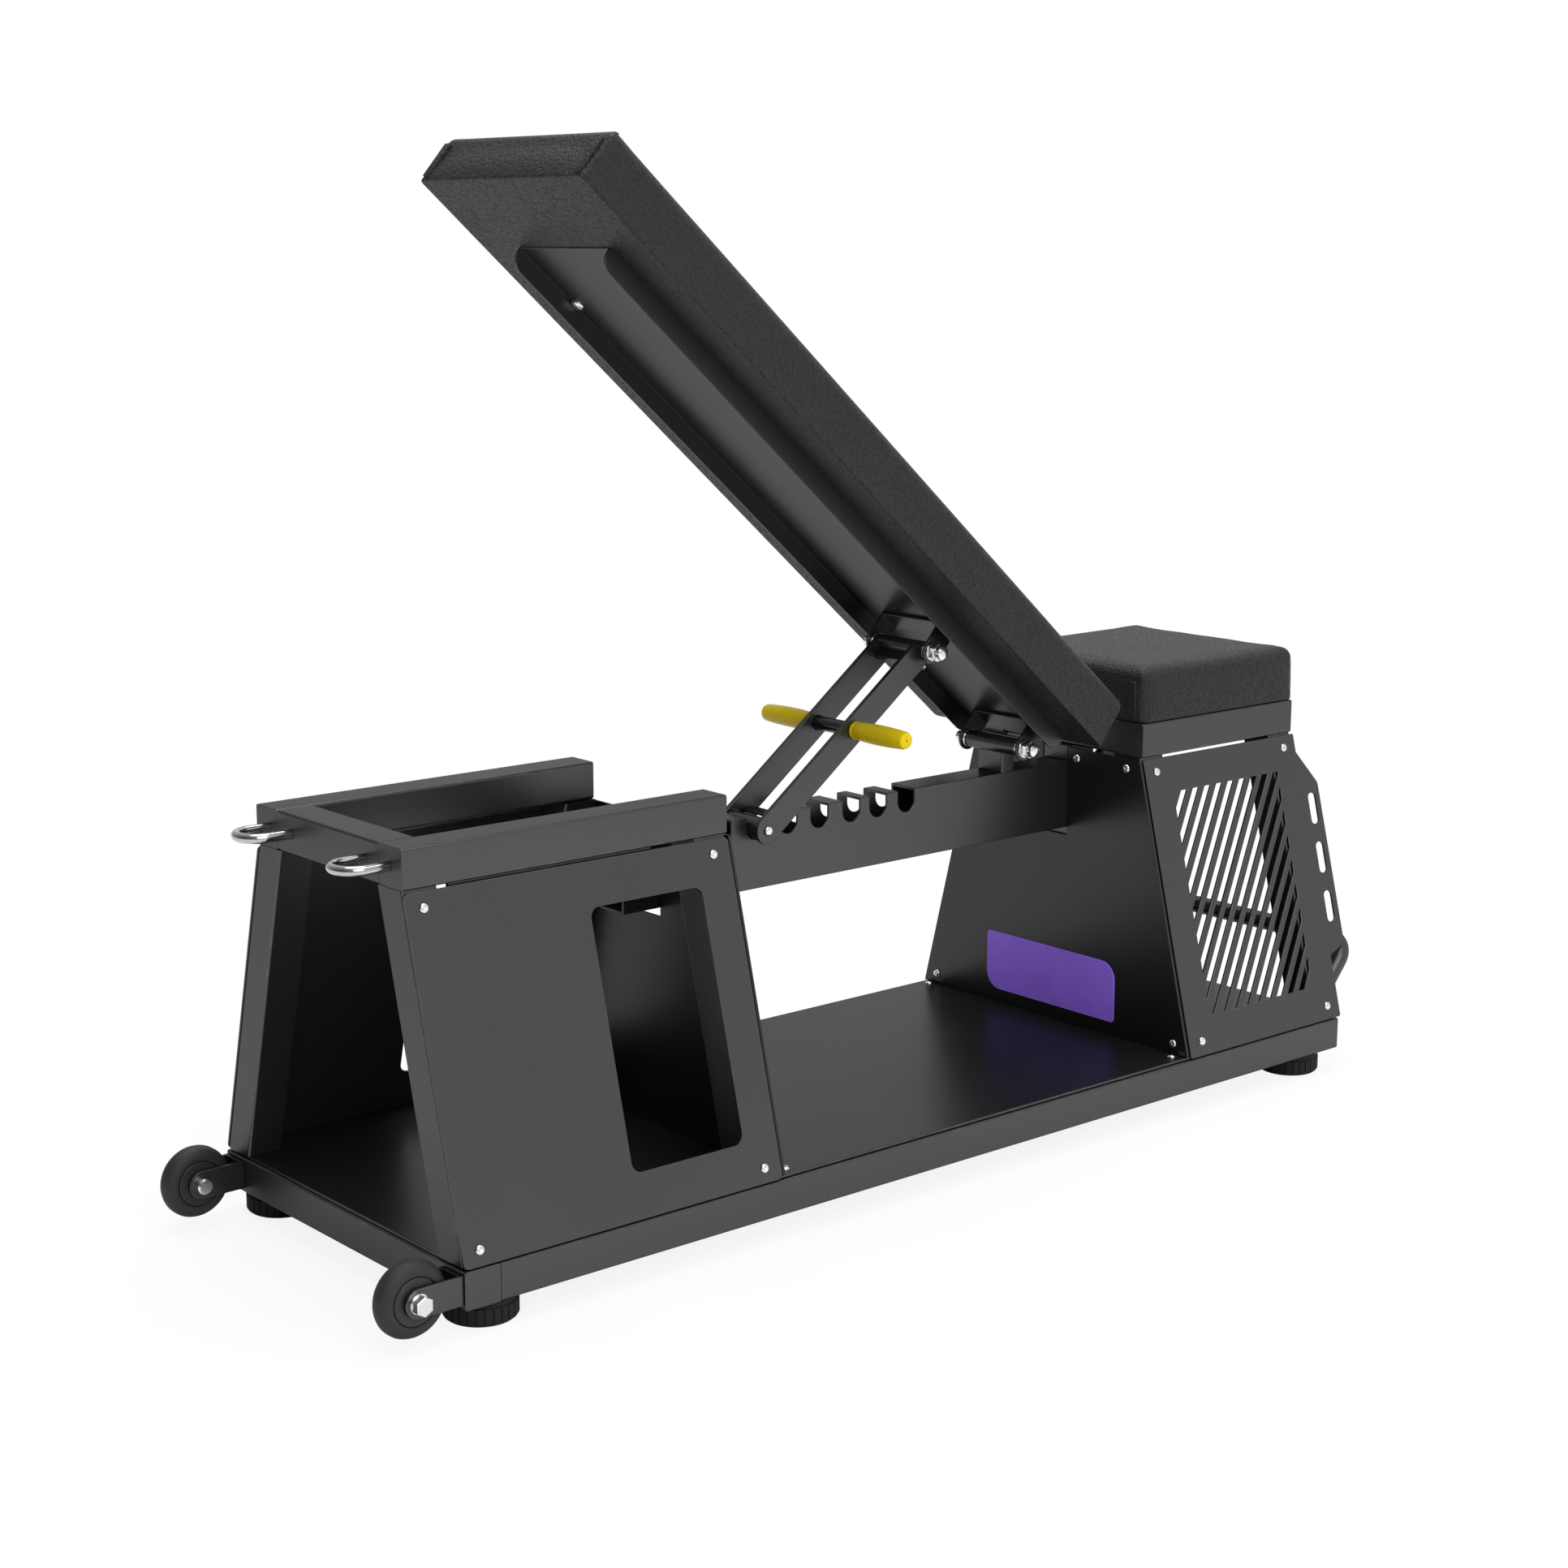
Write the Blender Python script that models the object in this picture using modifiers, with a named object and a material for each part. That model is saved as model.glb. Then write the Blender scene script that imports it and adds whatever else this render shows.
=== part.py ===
"""Adjustable training bench: a welded storage base on wheels, a fixed seat and a back that a strut props up."""

import math

import bmesh
import bpy
from mathutils import Matrix, Vector

# Stock sizes
TUBE = 0.040
TUBE_WALL = 0.002
SHEET = 0.003
GAP = 0.0003
BOLT = 0.010
BORE = 0.0106
NUT_ACROSS = 0.0196
VENT = 0.008

# Base: lengths along X run from its wheel end, heights from the ground
BASE_LENGTH = 1.275
BASE_HALF = 0.222
RAIL_LOW = 0.025
RAIL_HIGH = 0.063
FLOOR_EDGE = 0.0025
FLOOR_LOW = RAIL_HIGH + GAP
FLOOR_HIGH = FLOOR_LOW + SHEET
FOOT_RADIUS = 0.0365
FOOT_ALONG = (0.0415, 1.227)
FOOT_HALF = 0.1846

# Top frames and the leaning sides
TOP_LOW = 0.406
TOP_HIGH = 0.446
TOP_HALF = 0.1328
HEAD_FRAME = (0.0, 0.384)
SEAT_FRAME = (1.0045, 1.2725)
LEAN = math.atan2(BASE_HALF - TOP_HALF, TOP_LOW - RAIL_HIGH)
LEG_STARTS = {"head_outer": 0.0, "head_inner": 0.344, "seat_inner": 1.004, "seat_outer": 1.234}
LEG_LOW = FLOOR_HIGH + GAP
LEG_HIGH = TOP_LOW - GAP

# Side sheets, whose heights are those of their outer face
PANEL_LOW = 0.0675
PANEL_HIGH = 0.4038
PANEL_CORNER = 0.006
WINDOW = (0.2036, 0.3416, 0.1082, 0.3602)
WINDOW_CORNER = 0.011
GRILLE_OUTLINE = (
    (1.0052, PANEL_HIGH),
    (1.2744, PANEL_HIGH),
    (1.2740, 0.3834),
    (1.3032, 0.3458),
    (1.3080, 0.1522),
    (1.2800, 0.1370),
    (1.2800, PANEL_LOW),
    (1.0052, PANEL_LOW),
)
HAND_SLOT = (1.2924, 0.039, 0.010)
HAND_SLOT_HEIGHTS = (0.3122, 0.2534, 0.1946)
GRILLE_FIELD = (1.048, 1.2368, 0.0452, 0.310)
GRILLE_PITCH = 0.02086
GRILLE_SLOT = 0.0108
GRILLE_SLANT = math.radians(34.8)
GRILLE_FIRST = 1.0614
GRILLE_SLOTS = 17

# Cross walls of the storage bays
PARTITION = 0.385
SEAT_WALL = 0.9984
WALL_HIGH = 0.404
NOTCH_HALF = 0.0203
NOTCH_LOW = 0.2975

# Spine beam and its rest slots
BEAM = (0.337, 1.044)
BEAM_HALF = 0.020
BEAM_LOW = 0.3068
BEAM_HIGH = 0.3868
BEAM_WALL = 0.003
SLOT_RADIUS = 0.013
SLOT_LOW = 0.3612
SLOT_CENTRES = (0.469, 0.5168, 0.562, 0.607, 0.654, 0.694, 0.737)
REST_SLOT = 1

# Back, hinged to the beam's post; its lengths run from the hinge, towards the low end
HINGE = Vector((0.891, 0.0, 0.4198))
BACK_ANGLE = math.radians(40.8)
POST = (0.888, 0.9085)
SLEEVE_RADIUS = 0.010
LOWER_SLEEVE_HALF = 0.0404
UPPER_SLEEVE_HALF = 0.0404
UNDERSIDE = 0.036
BACK_LOW_END = 0.028
BACK_LENGTH = 0.954
BACK_HALF = 0.132
BACK_THICK = 0.066
CHANNEL = (0.024, -0.826)
CHANNEL_HALF = 0.076
CHANNEL_DEPTH = 0.022
EAR_RADIUS = 0.014
EAR_INNER = 0.0446
# Both pivots, and with them the strut, sit a little towards the near side
PIVOT_Y = -0.006
LOW_PIVOT = Vector((0.0, PIVOT_Y, 0.0))
KNEE = Vector((-0.1953, PIVOT_Y, -0.0002))

# Strut
BAR_WIDTH = 0.030
BAR_THICK = 0.006
BAR_INNER = 0.0275
BAR_TOP = -0.006
REST_RADIUS = 0.0125
HANDLE_DROP = 0.129
HANDLE_RADIUS = 0.008
HANDLE_HALF = 0.1132
GRIP_INNER = 0.0339
GRIP_OUTER = 0.1165
TIE_DROP = 0.022
TIE_THICK = 0.006

# Cushions and the boards let into them
SEAT = (1.004, 1.272)
SEAT_HALF = 0.1328
SEAT_THICK = 0.066
BOARD = 0.012
BOARD_INSET = 0.012

# Wheels
AXLE = Vector((-0.048, 0.2028, 0.045))
TYRE_RADIUS = 0.0375
TYRE_HALF = 0.012
HUB_RADIUS = 0.0235
FORK_HALF = 0.0168
FORK_PLATE = 0.004
FORK_RADIUS = 0.0146

# Strap rings and lift handle
RING_ACROSS = 0.0884
RING_HEIGHT = 0.4258
RING_RADIUS = 0.021
RING_WIRE = 0.005
RING_STRAIGHT = 0.0236
HANDLE_TUBE = 0.011
LIFT_REACH = 1.320
LIFT_HALF = 0.196
LIFT_HEIGHT = 0.147
LIFT_ROOT = (1.2745, 0.094)
LIFT_BEND = 0.028

# The row's origin is under the middle of the whole bench
ORIGIN_X = -(AXLE.x - TYRE_RADIUS + LIFT_REACH + HANDLE_TUBE) / 2

SIDES = {"near": -1, "far": 1}
ROUND = 24


def clear_scene():
    for obj in list(bpy.data.objects):
        bpy.data.objects.remove(obj, do_unlink=True)


def collection(name):
    made = bpy.data.collections.new(name)
    bpy.context.scene.collection.children.link(made)
    return made


def material(name, colour, roughness, metallic=0.0):
    made = bpy.data.materials.new(name)
    made.use_nodes = True
    shader = made.node_tree.nodes["Principled BSDF"]
    shader.inputs["Base Color"].default_value = (*colour, 1.0)
    shader.inputs["Roughness"].default_value = roughness
    shader.inputs["Metallic"].default_value = metallic
    return made


clear_scene()
PIECES = collection("training_bench")
CUTTERS = collection("training_bench_helpers")
CUTTERS.hide_render = True

FRAME_PAINT = material("frame_paint", (0.075, 0.075, 0.078), 0.45)
PANEL_PAINT = material("panel_paint", (0.055, 0.055, 0.058), 0.5)
LEATHERETTE = material("leatherette", (0.03, 0.03, 0.032), 0.55)
PLYWOOD = material("plywood", (0.45, 0.33, 0.2), 0.7)
ZINC = material("zinc", (0.62, 0.62, 0.6), 0.3, 1.0)
CHROME = material("chrome", (0.75, 0.75, 0.76), 0.12, 1.0)
RUBBER = material("rubber", (0.025, 0.025, 0.026), 0.8)
WHEEL_PLASTIC = material("wheel_plastic", (0.06, 0.06, 0.062), 0.5)
YELLOW_PLASTIC = material("yellow_plastic", (0.62, 0.55, 0.04), 0.45)
ROD_STEEL = material("rod_steel", (0.05, 0.05, 0.052), 0.4, 1.0)


def group(name, at, turn=0.0, parent=None):
    """An empty that pieces hang on, turned about the cross axis."""
    made = bpy.data.objects.new(name, None)
    PIECES.objects.link(made)
    made.location = at
    made.rotation_euler = (0.0, turn, 0.0)
    made.parent = parent
    return made


def add(name, mesh, look, parent, at=(0, 0, 0), turn=(0, 0, 0)):
    """A named piece."""
    made = bpy.data.objects.new(name, mesh)
    PIECES.objects.link(made)
    made.location = at
    made.rotation_euler = turn
    made.parent = parent
    mesh.materials.clear()
    mesh.materials.append(look)
    return made


def helper(mesh, parent, at=(0, 0, 0), turn=(0, 0, 0)):
    """A solid that is cut from a piece, or joined to one."""
    made = bpy.data.objects.new("helper", mesh)
    CUTTERS.objects.link(made)
    made.location = at
    made.rotation_euler = turn
    made.parent = parent
    made.hide_render = True
    made.display_type = "WIRE"
    return made


def combine(piece, other, operation):
    boolean = piece.modifiers.new(operation.lower(), "BOOLEAN")
    boolean.operation = operation
    boolean.object = other
    boolean.solver = "EXACT"


def block(size):
    """A box about its centre."""
    mesh = bpy.data.meshes.new("block")
    shape = bmesh.new()
    bmesh.ops.create_cube(shape, size=1.0)
    bmesh.ops.scale(shape, vec=size, verts=shape.verts)
    shape.to_mesh(mesh)
    shape.free()
    return mesh


def middle(low, high):
    return (Vector(low) + Vector(high)) / 2


def size_between(low, high):
    return Vector(high) - Vector(low)


def tube_between(name, low, high, open_ends, look, parent, wall=TUBE_WALL):
    """A rectangular tube that fills the box from low to high, without its faces on open_ends."""
    mesh = block(size_between(low, high))
    shape = bmesh.new()
    shape.from_mesh(mesh)
    gone = [face for face in shape.faces if any(face.normal.dot(Vector(end)) > 0.9 for end in open_ends)]
    bmesh.ops.delete(shape, geom=gone, context="FACES")
    shape.to_mesh(mesh)
    shape.free()
    piece = add(name, mesh, look, parent, middle(low, high))
    shell = piece.modifiers.new("wall", "SOLIDIFY")
    shell.thickness = wall
    shell.offset = -1.0
    shell.use_even_offset = True
    return piece


def rod(radius, length, sides=ROUND):
    """A round bar along Z, about its centre."""
    mesh = bpy.data.meshes.new("rod")
    shape = bmesh.new()
    bmesh.ops.create_cone(
        shape, cap_ends=True, segments=sides, radius1=radius, radius2=radius, depth=length
    )
    shape.to_mesh(mesh)
    shape.free()
    mesh.shade_smooth()
    mesh.set_sharp_from_angle(angle=math.radians(40))
    return mesh


def mesh_of_curve(curve):
    """The closed mesh of a curve, with its caps welded on."""
    holder = bpy.data.objects.new("curve", curve)
    CUTTERS.objects.link(holder)
    graph = bpy.context.evaluated_depsgraph_get()
    mesh = bpy.data.meshes.new_from_object(holder.evaluated_get(graph))
    bpy.data.objects.remove(holder, do_unlink=True)
    shape = bmesh.new()
    shape.from_mesh(mesh)
    bmesh.ops.remove_doubles(shape, verts=shape.verts, dist=1e-6)
    bmesh.ops.recalc_face_normals(shape, faces=shape.faces)
    shape.to_mesh(mesh)
    shape.free()
    return mesh


def plate(loops, thickness):
    """A flat sheet in the XY plane, about its middle; the first loop is its outline and the rest are holes."""
    curve = bpy.data.curves.new("plate", "CURVE")
    curve.dimensions = "2D"
    curve.fill_mode = "BOTH"
    curve.extrude = thickness / 2
    for loop in loops:
        spline = curve.splines.new("POLY")
        spline.points.add(len(loop) - 1)
        for point, (x, y) in zip(spline.points, loop):
            point.co = (x, y, 0.0, 1.0)
        spline.use_cyclic_u = True
    return mesh_of_curve(curve)


def bent_tube(path, radius, sides=3):
    """A round bar that follows a list of points."""
    curve = bpy.data.curves.new("tube", "CURVE")
    curve.dimensions = "3D"
    curve.bevel_depth = radius
    curve.bevel_resolution = sides
    curve.use_fill_caps = True
    spline = curve.splines.new("POLY")
    spline.points.add(len(path) - 1)
    for point, place in zip(spline.points, path):
        point.co = (*place, 1.0)
    mesh = mesh_of_curve(curve)
    mesh.shade_smooth()
    mesh.set_sharp_from_angle(angle=math.radians(50))
    return mesh


def arc(centre, radius, start, end, steps):
    """Points round a circle, from one angle to another in degrees."""
    turns = [math.radians(start + (end - start) * step / steps) for step in range(steps + 1)]
    return [(centre[0] + radius * math.cos(t), centre[1] + radius * math.sin(t)) for t in turns]


def circle(centre, radius, sides=ROUND):
    return arc(centre, radius, 0, 360, sides)[:-1]


def rounded_box(left, right, low, high, radius, steps=3):
    points = []
    corners = ((right, high, 0), (left, high, 90), (left, low, 180), (right, low, 270))
    for x, y, start in corners:
        inner_x = x - radius if x == right else x + radius
        inner_y = y - radius if y == high else y + radius
        points += arc((inner_x, inner_y), radius, start, start + 90, steps)
    return points


def box_loop(left, right, low, high):
    return [(left, low), (right, low), (right, high), (left, high)]


def obround(centre, length, width, steps=6):
    """A slot outline that stands along Y."""
    reach = (length - width) / 2
    top = arc((centre[0], centre[1] + reach), width / 2, 0, 180, steps)
    return top + arc((centre[0], centre[1] - reach), width / 2, 180, 360, steps)


def turned(name, profile, look, parent, at, turn, closed=False, steps=ROUND):
    """A lathe-turned piece about Z, from (radius, height) points that run down its outer side."""
    mesh = bpy.data.meshes.new(name)
    count = len(profile)
    edges = [(i, i + 1) for i in range(count - 1)]
    if closed:
        edges.append((count - 1, 0))
    mesh.from_pydata([(radius, 0.0, height) for radius, height in profile], edges, [])
    piece = add(name, mesh, look, parent, at, turn)
    screw = piece.modifiers.new("turn", "SCREW")
    screw.steps = steps
    screw.render_steps = steps
    screw.use_merge_vertices = True
    screw.merge_threshold = 0.00001
    return piece


def side_half(height):
    """Half width of the bench, at its leaning sides' outer face."""
    return BASE_HALF - (height - RAIL_HIGH) * math.tan(LEAN)


def up_side(height):
    """Distance up the leaning side, from the rail's top edge."""
    return (height - RAIL_HIGH) / math.cos(LEAN)


def base_frame(bench):
    low, high = RAIL_LOW, RAIL_HIGH
    inner = BASE_HALF - TUBE
    cross = tube_between(
        "base_cross_wheels", (0, -BASE_HALF, low), (TUBE, BASE_HALF, high), [], FRAME_PAINT, bench
    )
    vent(cross, bench, (TUBE, 0, (low + high) / 2), (0, math.pi / 2, 0))
    tube_between(
        "base_cross_seat",
        (BASE_LENGTH - TUBE, -inner + GAP, low),
        (BASE_LENGTH, inner - GAP, high),
        [(0, 1, 0), (0, -1, 0)],
        FRAME_PAINT,
        bench,
    )
    for side, sign in SIDES.items():
        edges = sorted((sign * inner, sign * BASE_HALF))
        tube_between(
            f"base_rail_{side}",
            (TUBE + GAP, edges[0], low),
            (BASE_LENGTH, edges[1], high),
            [(-1, 0, 0)],
            FRAME_PAINT,
            bench,
        )
    plate_low = (FLOOR_EDGE, -BASE_HALF + FLOOR_EDGE, FLOOR_LOW)
    plate_high = (BASE_LENGTH - FLOOR_EDGE, BASE_HALF - FLOOR_EDGE, FLOOR_HIGH)
    add("floor_plate", block(size_between(plate_low, plate_high)), PANEL_PAINT, bench, middle(plate_low, plate_high))


def vent(piece, bench, at, turn=(0, 0, 0)):
    """The small hole that lets a welded tube breathe, hidden where another tube meets it."""
    combine(piece, helper(rod(VENT / 2, 3 * TUBE_WALL, 8), bench, at, turn), "DIFFERENCE")


def feet(bench):
    high = RAIL_LOW - GAP
    edge = 0.004
    profile = [
        (0.0, high),
        (FOOT_RADIUS, high),
        (FOOT_RADIUS, edge),
        (FOOT_RADIUS - edge, 0.0),
        (0.0, 0.0),
    ]
    for end, along in zip(("wheels", "seat"), FOOT_ALONG):
        for side, sign in SIDES.items():
            turned(f"foot_{end}_{side}", profile, RUBBER, bench, (along, sign * FOOT_HALF, 0), (0, 0, 0))


def legs(bench):
    """Square tubes that stand on the floor plate and lean in with the side sheets."""
    height = LEG_HIGH - LEG_LOW
    across = TUBE / math.cos(LEAN)
    wall = TUBE_WALL
    outer = box_loop(-TUBE / 2, TUBE / 2, -across / 2, across / 2)
    hollow = box_loop(-TUBE / 2 + wall, TUBE / 2 - wall, -across / 2 + wall, across / 2 - wall)
    middle_height = (LEG_LOW + LEG_HIGH) / 2
    out = side_half(middle_height) - (SHEET + GAP) / math.cos(LEAN) - across / 2
    for side, sign in SIDES.items():
        mesh = plate([outer, hollow], height)
        mesh.transform(Matrix.Shear("XY", 4, (0.0, -sign * math.tan(LEAN))))
        for place, start in LEG_STARTS.items():
            at = (start + TUBE / 2, sign * out, middle_height)
            add(f"leg_{place}_{side}", mesh.copy(), FRAME_PAINT, bench, at)


def top_frames(bench):
    """The open frame that the back comes down on, and the closed one under the seat."""
    inner = TOP_HALF - TUBE
    for prefix, (start, end) in (("head_frame", HEAD_FRAME), ("seat_frame", SEAT_FRAME)):
        for side, sign in SIDES.items():
            edges = sorted((sign * inner, sign * TOP_HALF))
            arm = tube_between(
                f"{prefix}_arm_{side}",
                (start, edges[0], TOP_LOW),
                (end, edges[1], TOP_HIGH),
                [],
                FRAME_PAINT,
                bench,
            )
            vent(arm, bench, (start + TUBE / 2, sign * inner, (TOP_LOW + TOP_HIGH) / 2), (math.pi / 2, 0, 0))
    crosses = {
        "head_frame_cross": HEAD_FRAME[0],
        "seat_frame_cross_front": SEAT_FRAME[0],
        "seat_frame_cross_rear": SEAT_FRAME[1] - TUBE,
    }
    for name, start in crosses.items():
        tube_between(
            name,
            (start, -inner + GAP, TOP_LOW),
            (start + TUBE, inner - GAP, TOP_HIGH),
            [(0, 1, 0), (0, -1, 0)],
            FRAME_PAINT,
            bench,
        )


def side_sheet(name, loops, side, bench):
    """A sheet lying on the leaning side; its loops hold lengths along X and distances up the side."""
    sign = SIDES[side]
    at = (
        0.0,
        sign * (BASE_HALF - SHEET / 2 * math.cos(LEAN)),
        RAIL_HIGH - SHEET / 2 * math.sin(LEAN),
    )
    add(name, plate(loops, SHEET), PANEL_PAINT, bench, at, (math.pi / 2 + sign * LEAN, 0, 0))


def clipped(points, edge, keep_above, axis):
    """The part of a convex outline on one side of a line along an axis."""
    kept = []
    for here, following in zip(points, points[1:] + points[:1]):
        inside = (here[axis] >= edge) == keep_above
        inside_next = (following[axis] >= edge) == keep_above
        if inside:
            kept.append(here)
        if inside != inside_next:
            share = (edge - here[axis]) / (following[axis] - here[axis])
            kept.append(tuple(a + (b - a) * share for a, b in zip(here, following)))
    return kept


def grille_slots():
    """Slanted slots, cut off at the edges of a rectangular field."""
    left, right, low, high = GRILLE_FIELD
    drift = (high - low) * math.tan(GRILLE_SLANT)
    loops = []
    for number in range(GRILLE_SLOTS):
        top = GRILLE_FIRST + number * GRILLE_PITCH
        slot = [
            (top - drift, low),
            (top - drift + GRILLE_SLOT, low),
            (top + GRILLE_SLOT, high),
            (top, high),
        ]
        slot = clipped(slot, left, True, 0)
        loops.append(clipped(slot, right, False, 0))
    return loops


def side_sheets(bench):
    left, right, low, high = WINDOW
    window = rounded_box(left, right, up_side(low), up_side(high), WINDOW_CORNER)
    sheet = rounded_box(0.0, HEAD_FRAME[1], up_side(PANEL_LOW), up_side(PANEL_HIGH), PANEL_CORNER)
    outline = [(x, up_side(z)) for x, z in GRILLE_OUTLINE]
    x, length, width = HAND_SLOT
    hand_slots = [obround((x, up_side(z)), length, width) for z in HAND_SLOT_HEIGHTS]
    for side in SIDES:
        side_sheet(f"side_panel_{side}", [sheet, window], side, bench)
        side_sheet(f"grille_panel_{side}", [outline, *hand_slots, *grille_slots()], side, bench)


def cross_walls(bench):
    """The bays' upright walls, notched from above for the spine beam."""
    outline = [
        (-side_half(PANEL_LOW), PANEL_LOW),
        (side_half(PANEL_LOW), PANEL_LOW),
        (side_half(WALL_HIGH), WALL_HIGH),
        (NOTCH_HALF, WALL_HIGH),
        (NOTCH_HALF, NOTCH_LOW),
        (-NOTCH_HALF, NOTCH_LOW),
        (-NOTCH_HALF, WALL_HIGH),
        (-side_half(WALL_HIGH), WALL_HIGH),
    ]
    for name, start in (("partition_wall", PARTITION), ("seat_wall", SEAT_WALL)):
        at = (start + SHEET / 2, 0.0, 0.0)
        add(name, plate([outline], SHEET), PANEL_PAINT, bench, at, (math.pi / 2, 0, math.pi / 2))


def spine_beam(bench):
    """A box section whose top is cut by the slots that the strut's rod drops into."""
    start, end = BEAM
    half_height = (BEAM_HIGH - BEAM_LOW) / 2
    outer = box_loop(-BEAM_HALF, BEAM_HALF, -half_height, half_height)
    inner_half = BEAM_HALF - BEAM_WALL
    inner_height = half_height - BEAM_WALL
    hollow = box_loop(-inner_half, inner_half, -inner_height, inner_height)
    at = ((start + end) / 2, 0.0, (BEAM_LOW + BEAM_HIGH) / 2)
    turn = (math.pi / 2, 0, math.pi / 2)
    beam = add("spine_beam", plate([outer, hollow], end - start), FRAME_PAINT, bench, at, turn)
    above = BEAM_HIGH - SLOT_LOW + SLOT_RADIUS
    slot = arc((0, SLOT_RADIUS), SLOT_RADIUS, 180, 360, 10) + [(SLOT_RADIUS, above), (-SLOT_RADIUS, above)]
    cutter = plate([slot], 3 * BEAM_HALF)
    for centre in SLOT_CENTRES:
        combine(beam, helper(cutter, bench, (centre, 0, SLOT_LOW), (math.pi / 2, 0, 0)), "DIFFERENCE")


def sleeve_with(name, radius, half, arm_low, arm_high, parent, at=(0, 0, 0)):
    """A bored cross sleeve joined to a flat arm, which is given by its box."""
    piece = add(name, rod(radius, 2 * half), FRAME_PAINT, parent, at, (math.pi / 2, 0, 0))
    arm_at = Vector(at) + middle(arm_low, arm_high)
    combine(piece, helper(block(size_between(arm_low, arm_high)), parent, arm_at), "UNION")
    bore = helper(rod(BORE / 2, 3 * half, 16), parent, at, (math.pi / 2, 0, 0))
    combine(piece, bore, "DIFFERENCE")
    return piece


def hinge_post(bench):
    """The lug that stands on the beam and carries the back's hinge sleeve."""
    low = (POST[0] - HINGE.x, -BEAM_HALF - PIVOT_Y, BEAM_HIGH + GAP - HINGE.z)
    high = (POST[1] - HINGE.x, BEAM_HALF - PIVOT_Y, 0.0)
    sleeve_with("hinge_post", SLEEVE_RADIUS, LOWER_SLEEVE_HALF, low, high, bench, HINGE + LOW_PIVOT)


def back_bracket(name, at, parent):
    """A folded bracket under the channel, with two round ears about a pivot."""
    web_high = UNDERSIDE - SHEET - 2 * GAP - at.z
    ear = arc((0, 0), EAR_RADIUS, 180, 360, 10) + [(EAR_RADIUS, web_high), (-EAR_RADIUS, web_high)]
    mesh = plate([ear, circle((0, 0), BORE / 2, 16)], SHEET)
    low = (-EAR_RADIUS, -EAR_INNER - SHEET, web_high - SHEET)
    high = (EAR_RADIUS, EAR_INNER + SHEET, web_high)
    place = Vector(at)
    piece = add(name, block(size_between(low, high)), FRAME_PAINT, parent, place + middle(low, high))
    for sign in SIDES.values():
        ear_at = place + Vector((0, sign * (EAR_INNER + SHEET / 2), 0))
        combine(piece, helper(mesh, parent, ear_at, (math.pi / 2, 0, 0)), "UNION")


def bolt_with_nut(name, at, parent, head_start, nut_start, facing, head_radius=0.008, head=0.008, tail=0.004):
    """A bolt along Y with its nut on; distances run from its middle, and facing is the nut's side."""
    nut = 0.008
    start = -head_start - head / 2
    end = nut_start + nut + tail
    along = Vector((0, facing, 0))
    turn = (math.pi / 2, 0, 0)
    place = Vector(at)
    shank = place + along * (start + end) / 2
    piece = add(name, rod(BOLT / 2, end - start, 16), ZINC, parent, shank, turn)
    head_at = place - along * (head_start + head / 2)
    nut_at = place + along * (nut_start + nut / 2)
    combine(piece, helper(rod(head_radius, head, 16), parent, head_at, turn), "UNION")
    combine(piece, helper(rod(NUT_ACROSS / 2, nut, 6), parent, nut_at, turn), "UNION")


def back_channel(back):
    """A shallow channel screwed under the back's board, with rounded flange ends."""
    start, end = CHANNEL
    top = UNDERSIDE - GAP
    size = (start - end, 2 * CHANNEL_HALF, CHANNEL_DEPTH)
    mesh = block(size)
    shape = bmesh.new()
    shape.from_mesh(mesh)
    gone = [face for face in shape.faces if face.normal.z < -0.9 or abs(face.normal.x) > 0.9]
    bmesh.ops.delete(shape, geom=gone, context="FACES")
    corners = [vert for vert in shape.verts if vert.co.z < 0]
    bmesh.ops.bevel(
        shape, geom=corners, offset=CHANNEL_DEPTH * 0.7, segments=4, profile=0.5, affect="VERTICES"
    )
    shape.to_mesh(mesh)
    shape.free()
    at = ((start + end) / 2, 0.0, top - CHANNEL_DEPTH / 2)
    piece = add("back_channel", mesh, FRAME_PAINT, back, at)
    shell = piece.modifiers.new("sheet", "SOLIDIFY")
    shell.thickness = SHEET
    shell.offset = -1.0
    shell.use_even_offset = True


def loops_across(half, soft, spans):
    """Where the loops of a rounded edge and the even ones between them cross an axis."""
    flat = half - soft
    turn = flat + soft * math.tan(math.pi / 8)
    inner = [-flat + 2 * flat * span / spans for span in range(spans + 1)]
    return [-half, -turn, *inner, turn, half]


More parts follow.
